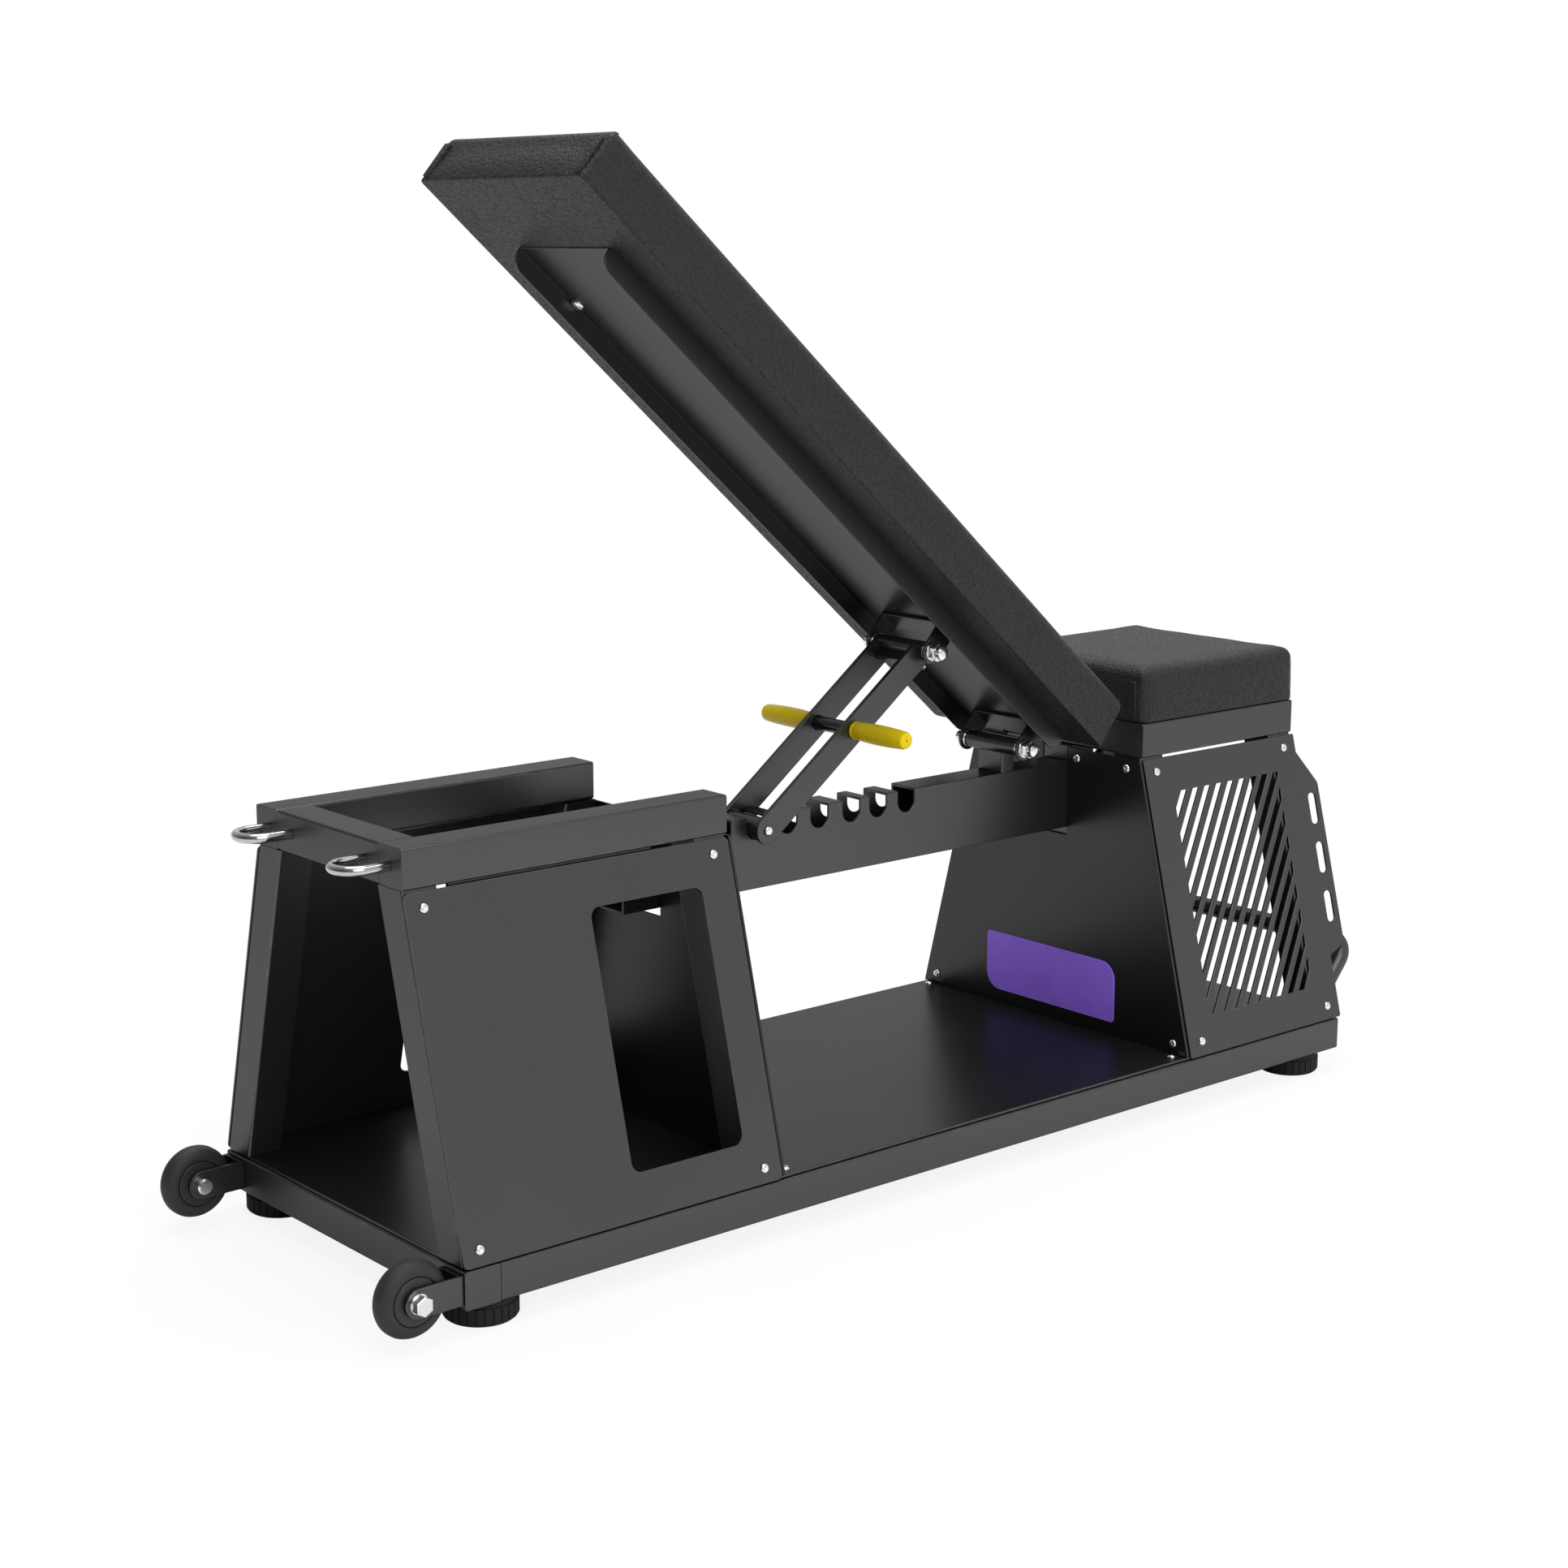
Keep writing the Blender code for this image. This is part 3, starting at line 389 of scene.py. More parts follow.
foot_rubber = moulded("foot_rubber", RUBBER_BLACK, 0.75, gloss=0.3)
for node in ("foot_wheels_near", "foot_wheels_far", "foot_seat_near", "foot_seat_far"):
    low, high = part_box(node)
    radius = (high.x - low.x) / 2
    top = high.z
    profile = [
        (radius - 0.006, 0.0), (radius - 0.0035, 0.0004), (radius - 0.0012, 0.0022), (radius, 0.0042),
        (radius, top - FOOT_COLLAR), (radius - 0.0016, top - FOOT_COLLAR + 0.0009),
        (radius - 0.0016, top - 0.0009), (radius - 0.0022, top),
    ]
    centre = ((low.x + high.x) / 2, (low.y + high.y) / 2, 0.0)
    foot = turned(f"{node}_rubber", profile, centre, (0, 0, 1), 4 * FOOT_RIBS)
    middle = Vector(centre)
    rib_turn = 0.5 * math.pi / FOOT_RIBS

    def is_groove(face):
        """Every fourth tall face of the ribbed band."""
        place = face.calc_center_median() - middle
        tall = 0.0042 < place.z < top - FOOT_COLLAR and abs(face.normal.z) < 0.1
        return tall and round(math.atan2(place.y, place.x) / rib_turn - 0.5) % 4 == 0

    edit(foot, "FACE", is_groove)
    bpy.ops.mesh.inset(thickness=0.0004, depth=-RIB_DEPTH, use_individual=True)
    bpy.ops.object.mode_set(mode="OBJECT")
    shade(foot, 25.0)
    fit(foot, foot_rubber, "rubber", "frame", node)

# The legs: square tubes that stand on the floor plate and lean in with the sides, under the top frames.
LEG_LEAN = 0.2600


def leaning_leg(node):
    low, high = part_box(node)
    across = TUBE / math.cos(math.atan(LEG_LEAN))
    drift = (high.y - low.y) - across
    near = "near" in node
    start = low.y if near else high.y - across
    leg = block(f"{node}_tube", (low.x, start, low.z), (high.x, start + across, high.z))
    soften(leg, TUBE_ROUND, 4, wanted=runs_along(2))
    edit(leg, "VERT", lambda vert: vert.co.z > high.z - 1e-5)
    bpy.ops.transform.translate(value=(0.0, drift if near else -drift, 0.0))
    bpy.ops.object.mode_set(mode="OBJECT")
    return fit(leg, painted_steel, "frame_paint", "frame", node)


for side in ("near", "far"):
    for place in ("head_outer", "head_inner", "seat_inner", "seat_outer"):
        leaning_leg(f"leg_{place}_{side}")

# The top frames: an open frame at the wheel end that the back comes down on, and a closed one under the
# seat, of the same square tube.
for prefix in ("head_frame", "seat_frame"):
    for side in ("near", "far"):
        square_tube(f"{prefix}_arm_{side}", 0)
for node in ("head_frame_cross", "seat_frame_cross_front", "seat_frame_cross_rear"):
    square_tube(node, 1)

# The sides: four laser-cut sheets that lie on the leaning legs. The wheel end's have a window, the
# seat end's have slanted slots and three finger slots.
WINDOW_X = (0.2036, 0.3416)
WINDOW_Z = (0.1082, 0.3602)
WINDOW_CORNER = 0.011
PANEL_X = (0.0, 0.384)
PANEL_CORNER = 0.006
PANEL_Z = (0.0646, 0.4038)
PANEL_LOW = 0.0675
GRILLE_CORNER = 0.0025
GRILLE_MOVES = (
    ((1.0052, 0.0675), 0.0, -0.0029), ((1.2800, 0.0675), 0.0, -0.0029),
    ((1.2744, 0.4038), 0.0020, 0.0), ((1.2740, 0.3834), 0.0024, -0.0018),
    ((1.3032, 0.3458), 0.0044, -0.0042), ((1.3080, 0.1522), 0.0010, -0.0040),
)
GRILLE_CORNERS = (
    (1.0052, 0.4038), (1.2764, 0.4038), (1.3076, 0.3416),
    (1.3090, 0.1482), (1.2800, 0.0646), (1.0052, 0.0646),
)
HAND_SLOT_X = 1.2920
HAND_SLOT_WIDER = 1.4
RAIL_HIGH = 0.063
FRAME_LOW = 0.406
SIDE_FOOT = 0.222
SIDE_HEAD = 0.1328
LEAN = math.atan2(SIDE_FOOT - SIDE_HEAD, FRAME_LOW - RAIL_HIGH)
SHEET = 0.003
ORIGIN_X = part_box("base_cross_wheels")[0].x


def up_side(height):
    """Distance up a leaning side for a height above the ground."""
    return (height - RAIL_HIGH) / math.cos(LEAN)


def rounded_outline(name, left, right, low, high, corner):
    """A flat outline with rounded corners."""
    bpy.ops.object.select_all(action="DESELECT")
    centre = ((left + right) / 2, (low + high) / 2, 0.0)
    bpy.ops.mesh.primitive_plane_add(size=1.0, location=centre)
    piece = bpy.context.object
    piece.name = name
    piece.scale = (right - left, high - low, 1.0)
    settle(piece)
    edit(piece, "VERT", lambda vert: True)
    bpy.ops.mesh.bevel(offset=corner, segments=7, affect="VERTICES")
    bpy.ops.mesh.delete(type="ONLY_FACE")
    bpy.ops.object.mode_set(mode="OBJECT")
    return piece


def on_side(sign):
    """Turns a flat sheet's plan up onto a leaning side, with the sheet inside its outer face."""
    turn = Matrix.Rotation(math.pi / 2 + sign * LEAN, 4, "X")
    return Matrix.Translation((ORIGIN_X, sign * SIDE_FOOT, RAIL_HIGH)) @ turn


def thicken(piece, thickness, offset):
    """Gives a flat sheet its thickness."""
    only(piece)
    wall = piece.modifiers.new("thickness", "SOLIDIFY")
    wall.thickness = thickness
    wall.offset = offset
    bpy.ops.object.modifier_apply(modifier=wall.name)
    return piece


def drawn_from(node, name):
    """A copy of a CAD solid, welded into one skin with its flat faces made whole."""
    piece = bpy.data.objects.new(name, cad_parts[node].data.copy())
    bpy.context.scene.collection.objects.link(piece)
    edit(piece, "VERT", lambda vert: True)
    bpy.ops.mesh.remove_doubles(threshold=0.00002)
    bpy.ops.mesh.dissolve_limited(angle_limit=math.radians(0.6))
    bpy.ops.object.mode_set(mode="OBJECT")
    return piece


def hand_slot(vert):
    """Picks the three finger slots of a slotted sheet."""
    return abs(vert.co.x - ORIGIN_X - HAND_SLOT_X) < 0.0062 and 0.17 < vert.co.z < 0.335


def near_corner(x, z):
    """Picks a corner of a slotted sheet, on both its faces."""
    return lambda vert: abs(vert.co.x - ORIGIN_X - x) < 0.0006 and abs(vert.co.z - z) < 0.0016


def grille_corner(edge):
    """Picks the short edges at the outer corners of a slotted sheet."""
    middle = (edge.verts[0].co + edge.verts[1].co) / 2
    short = edge.calc_length() < 0.004 and abs(edge.verts[0].co.x - edge.verts[1].co.x) < 0.0002
    return short and any(
        abs(middle.x - ORIGIN_X - x) < 0.0015 and abs(middle.z - z) < 0.0035 for x, z in GRILLE_CORNERS
    )


for side, sign in (("near", -1), ("far", 1)):
    inner = rounded_outline("window", *WINDOW_X, *map(up_side, WINDOW_Z), WINDOW_CORNER)
    panel = rounded_outline(f"window_side_{side}", *PANEL_X, *map(up_side, PANEL_Z), PANEL_CORNER)
    inner.select_set(True)
    bpy.ops.object.join()
    edit(panel, "EDGE", lambda edge: True)
    bpy.ops.mesh.bridge_edge_loops()
    bpy.ops.mesh.select_all(action="SELECT")
    bpy.ops.mesh.normals_make_consistent(inside=False)
    bpy.ops.object.mode_set(mode="OBJECT")
    settle(panel, on_side(sign))
    outward = panel.data.polygons[0].normal.y * sign
    thicken(panel, SHEET, -1.0 if outward > 0 else 1.0)
    edit(panel, "VERT", lambda vert: True)
    bpy.ops.mesh.normals_make_consistent(inside=False)
    bpy.ops.object.mode_set(mode="OBJECT")
    soften(panel, SHEET_ROUND, 2, 60.0)
    fit(panel, painted_sheet, "panel_paint", "frame", f"side_panel_{side}")
    grille = drawn_from(f"grille_panel_{side}", f"slotted_side_{side}")
    edit(grille, "VERT", hand_slot)
    slot_middle = (ORIGIN_X + HAND_SLOT_X, 0.0, 0.25)
    bpy.ops.transform.resize(value=(HAND_SLOT_WIDER, 1.0, 1.0), center_override=slot_middle)
    for spot, along, rise in GRILLE_MOVES:
        edit(grille, "VERT", near_corner(*spot))
        bpy.ops.transform.translate(value=(along, -sign * rise * math.tan(LEAN), rise))
    bpy.ops.object.mode_set(mode="OBJECT")
    soften(grille, GRILLE_CORNER, 3, wanted=grille_corner)
    soften(grille, 0.0004, 1, 60.0)
    fit(grille, painted_sheet, "panel_paint", "frame", f"grille_panel_{side}")

# The folded lips: a narrow strip behind the gap over each window side, under the head frame's arm.
LIP_START = 0.052
LIP_Y = (0.1244, 0.1292)
LIP_Z = (0.3955, 0.4057)
for side, sign, lip_end in (("near", -1, 0.290), ("far", 1, PANEL_X[1])):
    inner_y, outer_y = sorted(sign * across for across in LIP_Y)
    lip_low = (ORIGIN_X + LIP_START, inner_y, LIP_Z[0])
    lip = block(f"window_side_lip_{side}", lip_low, (ORIGIN_X + lip_end, outer_y, LIP_Z[1]))
    soften(lip, 0.0008, 2)
    fit(lip, painted_sheet, "panel_paint")

# The cross walls: two upright sheets between the bays, notched from above for the spine beam.
# Painted shade: the walls' grey is darker than the frame's paint, to darken their faces towards the dim wheel
# end.
WALL_PAINTED_SHADE_GREY = (0.050, 0.050, 0.0504)
WALL_DROP = 0.0010
wall_painted_shade = painted("wall_painted_shade", WALL_PAINTED_SHADE_GREY, PAINT_RUBBED, 0.31)
for node in ("partition_wall", "seat_wall"):
    wall = drawn_from(node, f"{node}_sheet")
    edit(wall, "VERT", lambda vert: vert.co.z < PANEL_LOW + 0.001)
    bpy.ops.transform.translate(value=(0.0, 0.0, -WALL_DROP))
    bpy.ops.object.mode_set(mode="OBJECT")
    soften(wall, 0.0005, 2, 60.0)
    fit(wall, wall_painted_shade, "panel_paint", "frame", node)

# The end plate: a thin purple anodised plate on the seat wall, facing the middle bay, with two corners
# rounded wide and two tight.
BADGE_Y = (-0.1052, 0.1076)
BADGE_Z = (0.083, 0.1556)
BADGE_THICK = 0.0015
BADGE_WIDE = 0.022
BADGE_TIGHT = 0.004
BADGE_MIDDLE = 0.118
BADGE_PURPLE = (0.36, 0.18, 1.0)
wall_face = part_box("seat_wall")[0].x
badge_low = (wall_face - BADGE_THICK, BADGE_Y[0], BADGE_Z[0])
badge = block("badge_plate", badge_low, (wall_face, BADGE_Y[1], BADGE_Z[1]))


def badge_corner(high, near):
    """Picks the plate's short edge at one of its corners."""
    def wanted(edge):
        middle = (edge.verts[0].co + edge.verts[1].co) / 2
        across = abs(edge.verts[0].co.x - edge.verts[1].co.x) > BADGE_THICK / 2
        return across and (middle.z > BADGE_MIDDLE) == high and (middle.y < 0.0) == near
    return wanted


soften(badge, BADGE_WIDE, 8, wanted=badge_corner(True, True))
soften(badge, BADGE_WIDE, 8, wanted=badge_corner(False, False))
soften(badge, BADGE_TIGHT, 4, wanted=badge_corner(True, False))
soften(badge, BADGE_TIGHT, 4, wanted=badge_corner(False, True))
soften(badge, 0.0004, 2, 60.0)
badge_finish = moulded("badge_finish", BADGE_PURPLE, 0.42, 900.0, 0.0001, 0.12)
fit(badge, badge_finish, "panel_paint")

# The spine beam: a rectangular tube from the partition to the seat wall, whose top is cut by seven round
# slots that the strut's rod drops into. A post with a cross sleeve is welded on it for the back's hinge.
beam = drawn_from("spine_beam", "slotted_beam")
soften(beam, 0.0008, 2, 50.0)
fit(beam, painted_steel, "frame_paint", "frame", "spine_beam")

BEAM_TOP = 0.3871
packer_low = (ORIGIN_X + 0.9988, -0.0195, BEAM_TOP)
packer = block("beam_packer", packer_low, (ORIGIN_X + 1.0440, 0.0195, 0.4057))
soften(packer, 0.0012, 2)
fit(packer, painted_steel, "frame_paint")
cleat_low = (ORIGIN_X + 1.0018, -0.030, 0.2880)
cleat = block("beam_cleat", cleat_low, (ORIGIN_X + 1.0048, 0.030, 0.3064))
soften(cleat, 0.0008, 2)
fit(cleat, painted_sheet, "panel_paint")

HINGE = Vector((ORIGIN_X + 0.891, 0.0, 0.4198))
PIVOT_SHIFT = Vector((0.0, -0.006, 0.0))
SLEEVE_RADIUS = 0.010
SLEEVE_BORE = 0.0053
SLEEVE_HALF = 0.0404
POST_X = (ORIGIN_X + 0.888, ORIGIN_X + 0.9085)
POST_HALF = 0.020


def sleeve(name, radius, half, centre):
    """A short thick tube across the bench, with its bore and eased ends."""
    deep = half - 0.006
    profile = [
        (SLEEVE_BORE, -deep), (SLEEVE_BORE, -half + 0.0004), (SLEEVE_BORE + 0.0005, -half),
        (radius - 0.0008, -half), (radius, -half + 0.0008), (radius, half - 0.0008), (radius - 0.0008, half),
        (SLEEVE_BORE + 0.0005, half), (SLEEVE_BORE, half - 0.0004), (SLEEVE_BORE, deep),
    ]
    return turned(name, profile, centre, (0, 1, 0))


def joined(name, *parts):
    """Welds several shapes into one named piece."""
    only(parts[0])
    for part in parts[1:]:
        part.select_set(True)
    bpy.ops.object.join()
    parts[0].name = name
    return parts[0]


post_block = block("post", (POST_X[0], -POST_HALF, BEAM_TOP), (POST_X[1], POST_HALF, HINGE.z))
soften(post_block, 0.002, 3, wanted=runs_along(2))
post_sleeve = sleeve("post_sleeve", SLEEVE_RADIUS, SLEEVE_HALF, HINGE + PIVOT_SHIFT)
post = joined("hinge_post_with_sleeve", post_sleeve, post_block)
fit(post, painted_steel, "frame_paint", "frame", "hinge_post")

# The screws: zinc-plated button heads with a hexagon socket, 10 mm across, in the sheets, the walls and
# the floor plate.
SCREW_RADIUS = 0.0050
SCREW_RISE = 0.0027
SOCKET_MOUTH = 0.0018
SOCKET_FLAT = 0.0016


def bare_metal(name, colour, roughness, grain):
    """Bright plated or ground steel, with fine scratches and a little clouding."""
    look = bpy.data.materials.new(name)
    nodes = Nodes(look)
    place = nodes.add("ShaderNodeTexCoord", output="Object")
    cloud = nodes.add("ShaderNodeTexNoise", sockets={"Vector": place, "Scale": 60.0, "Detail": 3.0})
    scratch = nodes.add("ShaderNodeTexNoise", sockets={"Vector": place, "Scale": grain, "Detail": 4.0})
    dark = (*(c * 0.86 for c in colour), 1.0)
    light = (*(min(1.0, c * 1.1) for c in colour), 1.0)
    relief = {"Strength": 0.15, "Distance": 0.0001, "Height": scratch}
    bump = nodes.add("ShaderNodeBump", sockets=relief, output="Normal")
    shader = nodes.tree.nodes["Principled BSDF"]
    nodes.join(shader, {
        "Base Color": nodes.mix(cloud, dark, light),
        "Metallic": 1.0,
        "Roughness": roughness - 0.05 + cloud * 0.1,
        "Normal": bump,
    })
    return look


zinc = bare_metal("zinc_plate", (0.80, 0.80, 0.79), 0.20, 900.0)


def one_screw(place, outward, size=1.0):
    """A button head, domed, with its hexagon socket pressed in."""
    rise, radius = SCREW_RISE * size, SCREW_RADIUS * size
    profile = [
        (radius * 0.9, 0.0), (radius, 0.0003), (radius * 0.97, rise * 0.35), (radius * 0.86, rise * 0.68),
        (radius * 0.68, rise * 0.9), (radius * 0.5, rise), (SOCKET_MOUTH, rise), (SOCKET_FLAT, rise * 0.25),
    ]
    screw = turned("screw", profile, (0, 0, 0), (0, 0, 1), 24)
    edit(screw, "VERT", lambda vert: Vector(vert.co[:2]).length < SOCKET_MOUTH + 0.0001)
    shape = bmesh.from_edit_mesh(screw.data)
    for vert in shape.verts:
        if vert.select:
            around = math.atan2(vert.co.y, vert.co.x) % (math.pi / 3) - math.pi / 6
            flat = SOCKET_FLAT / math.cos(around)
            vert.co.x, vert.co.y = Vector(vert.co[:2]).normalized() * flat
    bmesh.update_edit_mesh(screw.data)
    bpy.ops.object.mode_set(mode="OBJECT")
    turn = Vector(outward).to_track_quat("Z", "Y").to_matrix().to_4x4()
    return settle(screw, Matrix.Translation(place) @ turn)


def screws(name, places, outward, body="frame", size=1.0):
    """A group of screws that hold one sheet."""
    made = [one_screw(place, outward, size) for place in places]
    group = joined(name, *made) if len(made) > 1 else made[0]
    group.name = name
    shade(group, 30.0)
    return fit(group, zinc, "zinc", body)


SIDE_SCREWS = {
    "window_side": ((0.0196, 0.3886), (0.3624, 0.3886), (0.0196, 0.0794), (0.3624, 0.0794)),
    "slotted_side": ((1.0244, 0.3886), (1.2540, 0.3894), (1.0272, 0.0810), (1.2576, 0.0806)),
}
for side, sign in (("near", -1), ("far", 1)):
    outward = Vector((0.0, sign * math.cos(LEAN), math.sin(LEAN)))
    for sheet_name, spots in SIDE_SCREWS.items():
        places = []
        for x, z in spots:
            across = SIDE_FOOT - (z - RAIL_HIGH) * math.tan(LEAN)
            places.append((ORIGIN_X + x, sign * across, z))
        screws(f"{sheet_name}_screws_{side}", places, outward)
WALL_SCREWS = ((0.0352, 0.3922), (0.1140, 0.3922), (0.1984, 0.0794))
for node in ("partition_wall", "seat_wall"):
    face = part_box(node)[0].x
    places = [(face, sign * y, z) for y, z in WALL_SCREWS for sign in (-1, 1)]
    screws(f"{node}_screws", places, (-1, 0, 0))
floor_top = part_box("floor_plate")[1].z
FLOOR_SCREW_X = (0.4012, 0.9900)
FLOOR_SCREW_Y = 0.204
places = [(ORIGIN_X + x, sign * FLOOR_SCREW_Y, floor_top) for x in FLOOR_SCREW_X for sign in (-1, 1)]
screws("floor_plate_screws", places, (0, 0, 1))

# The wheels: two solid moulded wheels in folded steel forks on the base's end, each on a bolt with a
# hexagon nut on its outer side. They touch the floor only when the bench is tipped.
TYRE_GREY = (0.014, 0.014, 0.0145)
HUB_GREY = (0.016, 0.016, 0.0165)
HUB_RADIUS = 0.0235
HUB_BORE = 0.0056
FORK_FACE = 0.0168
BOLT_RADIUS = 0.005
WASHER_THICK = 0.0012
tyre_rubber = moulded("tyre_rubber", TYRE_GREY, 0.62, 500.0)
hub_plastic = moulded("hub_plastic", HUB_GREY, 0.5)


def nut(name, across, thick, centre, outward):
    """A hexagon nut with its corners chamfered."""
    radius = across / math.sqrt(3)
    profile = [(radius * 0.93, 0.0), (radius, 0.0006), (radius, thick - 0.0006), (radius * 0.9, thick)]
    piece = turned(name, profile, centre, outward, 6)
    only(piece)
    bpy.ops.object.shade_flat()
    return piece


def washer(name, radius, thick, centre, outward):
    profile = [(radius - 0.0004, 0.0), (radius, 0.0004), (radius, thick - 0.0004), (radius - 0.0004, thick)]
    return turned(name, profile, centre, outward, 40)


for side, sign in (("near", -1), ("far", 1)):
    low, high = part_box(f"tyre_{side}")
    centre = (low + high) / 2
    radius, half = (high.z - low.z) / 2, (high.y - low.y) / 2
    shoulder = [
        (HUB_RADIUS + 0.0004, 0.0022), (HUB_RADIUS + 0.0007, 0.0006), (HUB_RADIUS + 0.0016, 0.0001),
        (0.0262, 0.0), (0.0292, 0.0005), (0.0322, 0.0019), (0.0347, 0.0041), (0.0364, 0.0068),
        (radius, 0.0098),
    ]
    tyre_profile = [(out, -half + rise) for out, rise in shoulder]
    tyre_profile += [(out, half - rise) for out, rise in reversed(shoulder)]
    tyre = turned(f"tyre_{side}_moulded", tyre_profile, centre, (0, 1, 0), 96)
    fit(tyre, tyre_rubber, "rubber", f"wheel_{side}", f"tyre_{side}")
    hub_profile = [
        (HUB_BORE, -half), (HUB_RADIUS - 0.0010, -half), (HUB_RADIUS - 0.0003, -half + 0.0005),
        (HUB_RADIUS, -half + 0.0020), (HUB_RADIUS, half - 0.0020), (HUB_RADIUS - 0.0003, half - 0.0005),
        (HUB_RADIUS - 0.0010, half), (HUB_BORE, half),
    ]
    hub = turned(f"wheel_hub_{side}_moulded", hub_profile, centre, (0, 1, 0), 64)
    fit(hub, hub_plastic, "wheel_plastic", f"wheel_{side}", f"wheel_hub_{side}")
    fork = drawn_from(f"wheel_fork_{side}", f"wheel_fork_{side}_folded")
    soften(fork, 0.0006, 2, 50.0)
    fit(fork, painted_steel, "frame_paint", "frame", f"wheel_fork_{side}")
    outer = Vector((0.0, sign, 0.0))
    shank = turned("shank", [(BOLT_RADIUS, -FORK_FACE), (BOLT_RADIUS, FORK_FACE)], centre, (0, 1, 0), 24)
    washer_at = centre + outer * FORK_FACE
    bolt_head = [(0.0080, 0.0), (0.0085, 0.0006), (0.0085, 0.0060), (0.0070, 0.0078)]
    axle = joined(
        f"axle_bolt_{side}_set",
        shank,
        washer("washer", 0.0100, WASHER_THICK, washer_at, outer),
        nut("nut", 0.0170, 0.0090, washer_at + outer * WASHER_THICK, outer),
        turned("head", bolt_head, centre - outer * FORK_FACE, -outer, 32),
    )
    fit(axle, zinc, "zinc", "frame", f"axle_bolt_{side}")

# The strap rings: two loops of 10 mm chromed wire, let level into the end of the head frame.
RING_RADIUS = 0.021
RING_WIRE = 0.005
RING_STRAIGHT = 0.0236
RING_HEIGHT = 0.4258
RING_ACROSS = 0.0884
chrome = bare_metal("chrome_plate", (0.50, 0.50, 0.51), 0.16, 300.0)
for side, sign in (("near", -1), ("far", 1)):
    bpy.ops.object.select_all(action="DESELECT")
    bpy.ops.mesh.primitive_torus_add(
        major_radius=RING_RADIUS, minor_radius=RING_WIRE, major_segments=64, minor_segments=20
    )
    ring = bpy.context.object
    ring.name = f"strap_ring_{side}_chromed"
    edit(ring, "VERT", lambda vert: True)
    bpy.ops.mesh.bisect(plane_co=(0, 0, 0), plane_no=(1, 0, 0), clear_outer=True)
    bpy.ops.object.mode_set(mode="OBJECT")
    edit(ring, "EDGE", lambda edge: edge.is_boundary)
    bpy.ops.mesh.extrude_region_move(TRANSFORM_OT_translate={"value": (RING_STRAIGHT - 0.0003, 0, 0)})
    bpy.ops.mesh.edge_face_add()
    bpy.ops.object.mode_set(mode="OBJECT")
    settle(ring, Matrix.Translation((ORIGIN_X - RING_STRAIGHT, sign * RING_ACROSS, RING_HEIGHT)))
    shade(ring, 50.0)
    fit(ring, chrome, "chrome", "frame", f"strap_ring_{side}")

# The lift handle: one painted 22 mm round tube across the seat end, bent down and back into the sides.
HANDLE_TUBE = 0.011
LIFT_REACH = ORIGIN_X + 1.320
LIFT_HALF = 0.196
LIFT_HEIGHT = 0.147
LIFT_ROOT = (ORIGIN_X + 1.2745, 0.094)
LIFT_BEND = 0.028
LIFT_SUNK = Vector((0.003, 0.0, 0.0034))


def bend_points(before, corner, after, radius, steps):
    """Points round a corner of a tube's path."""
    back = (before - corner).normalized()
    on = (after - corner).normalized()
    opening = back.angle(on)
    tangent = radius / math.tan(opening / 2)
    centre = corner + (back + on).normalized() * radius / math.sin(opening / 2)
    start = corner + back * tangent - centre
    axis = start.cross(corner + on * tangent - centre).normalized()
    sweep = math.pi - opening
    turns = (Matrix.Rotation(sweep * step / steps, 3, axis) for step in range(steps + 1))
    return [centre + turn @ start for turn in turns]


def round_tube(name, path, radius):
    """A round tube along a path, as a mesh with closed ends."""
    curve = bpy.data.curves.new(name, "CURVE")
    curve.dimensions = "3D"
    curve.bevel_depth = radius
    curve.bevel_resolution = 10
    curve.use_fill_caps = True
    spline = curve.splines.new("POLY")
    spline.points.add(len(path) - 1)
    for point, place in zip(spline.points, path):
        point.co = (*place, 1.0)
    piece = bpy.data.objects.new(name, curve)
    bpy.context.scene.collection.objects.link(piece)
    only(piece)
    bpy.ops.object.convert(target="MESH")
    piece = bpy.context.object
    edit(piece, "VERT", lambda vert: True)
    bpy.ops.mesh.remove_doubles(threshold=0.000005)
    bpy.ops.mesh.normals_make_consistent(inside=False)
    bpy.ops.object.mode_set(mode="OBJECT")
    shade(piece, 50.0)
    return piece


corners = [
    Vector((LIFT_ROOT[0], -LIFT_HALF, LIFT_ROOT[1])),
    Vector((LIFT_REACH, -LIFT_HALF, LIFT_HEIGHT)),
    Vector((LIFT_REACH, LIFT_HALF, LIFT_HEIGHT)),
    Vector((LIFT_ROOT[0], LIFT_HALF, LIFT_ROOT[1])),
]
lift_path = [corners[0] + LIFT_SUNK]
for number in (1, 2):
    lift_path += bend_points(corners[number - 1], corners[number], corners[number + 1], LIFT_BEND, 14)
lift_path.append(corners[3] + LIFT_SUNK)
lift = round_tube("lift_handle_tube", lift_path, HANDLE_TUBE)
fit(lift, painted_steel, "frame_paint", "frame", "lift_handle")

# The back's channel: a long shallow steel channel screwed under the cushion's board, with rounded ends
# to its flanges. Two folded brackets under it hold the hinge and the strut's pivot.
BACK_ANGLE = math.radians(40.8)
KNEE = Vector((-0.1953, 0.0, -0.0002)) + PIVOT_SHIFT
BACK = Matrix.Translation(HINGE) @ Matrix.Rotation(BACK_ANGLE, 4, "Y")
EAR_FACE = 0.0479
SPACER_RADIUS = 0.0114
SPACER_THICK = 0.0036
SPACER_INWARD = 0.0073
CHANNEL_END = -0.826
CHANNEL_SCREW_X = (0.0860, 0.7299)
CHANNEL_SCREW_Y = 0.0664
WEB_FACE = 0.0327
channel = drawn_from("back_channel", "back_channel_folded")
soften(channel, 0.0006, 2, 50.0)
fit(channel, painted_steel, "frame_paint", "back", "back_channel")
for node in ("hinge_bracket", "strut_bracket"):
    bracket = drawn_from(node, f"{node}_folded")
    soften(bracket, 0.0005, 2, 50.0)
    fit(bracket, painted_steel, "frame_paint", "back", node)


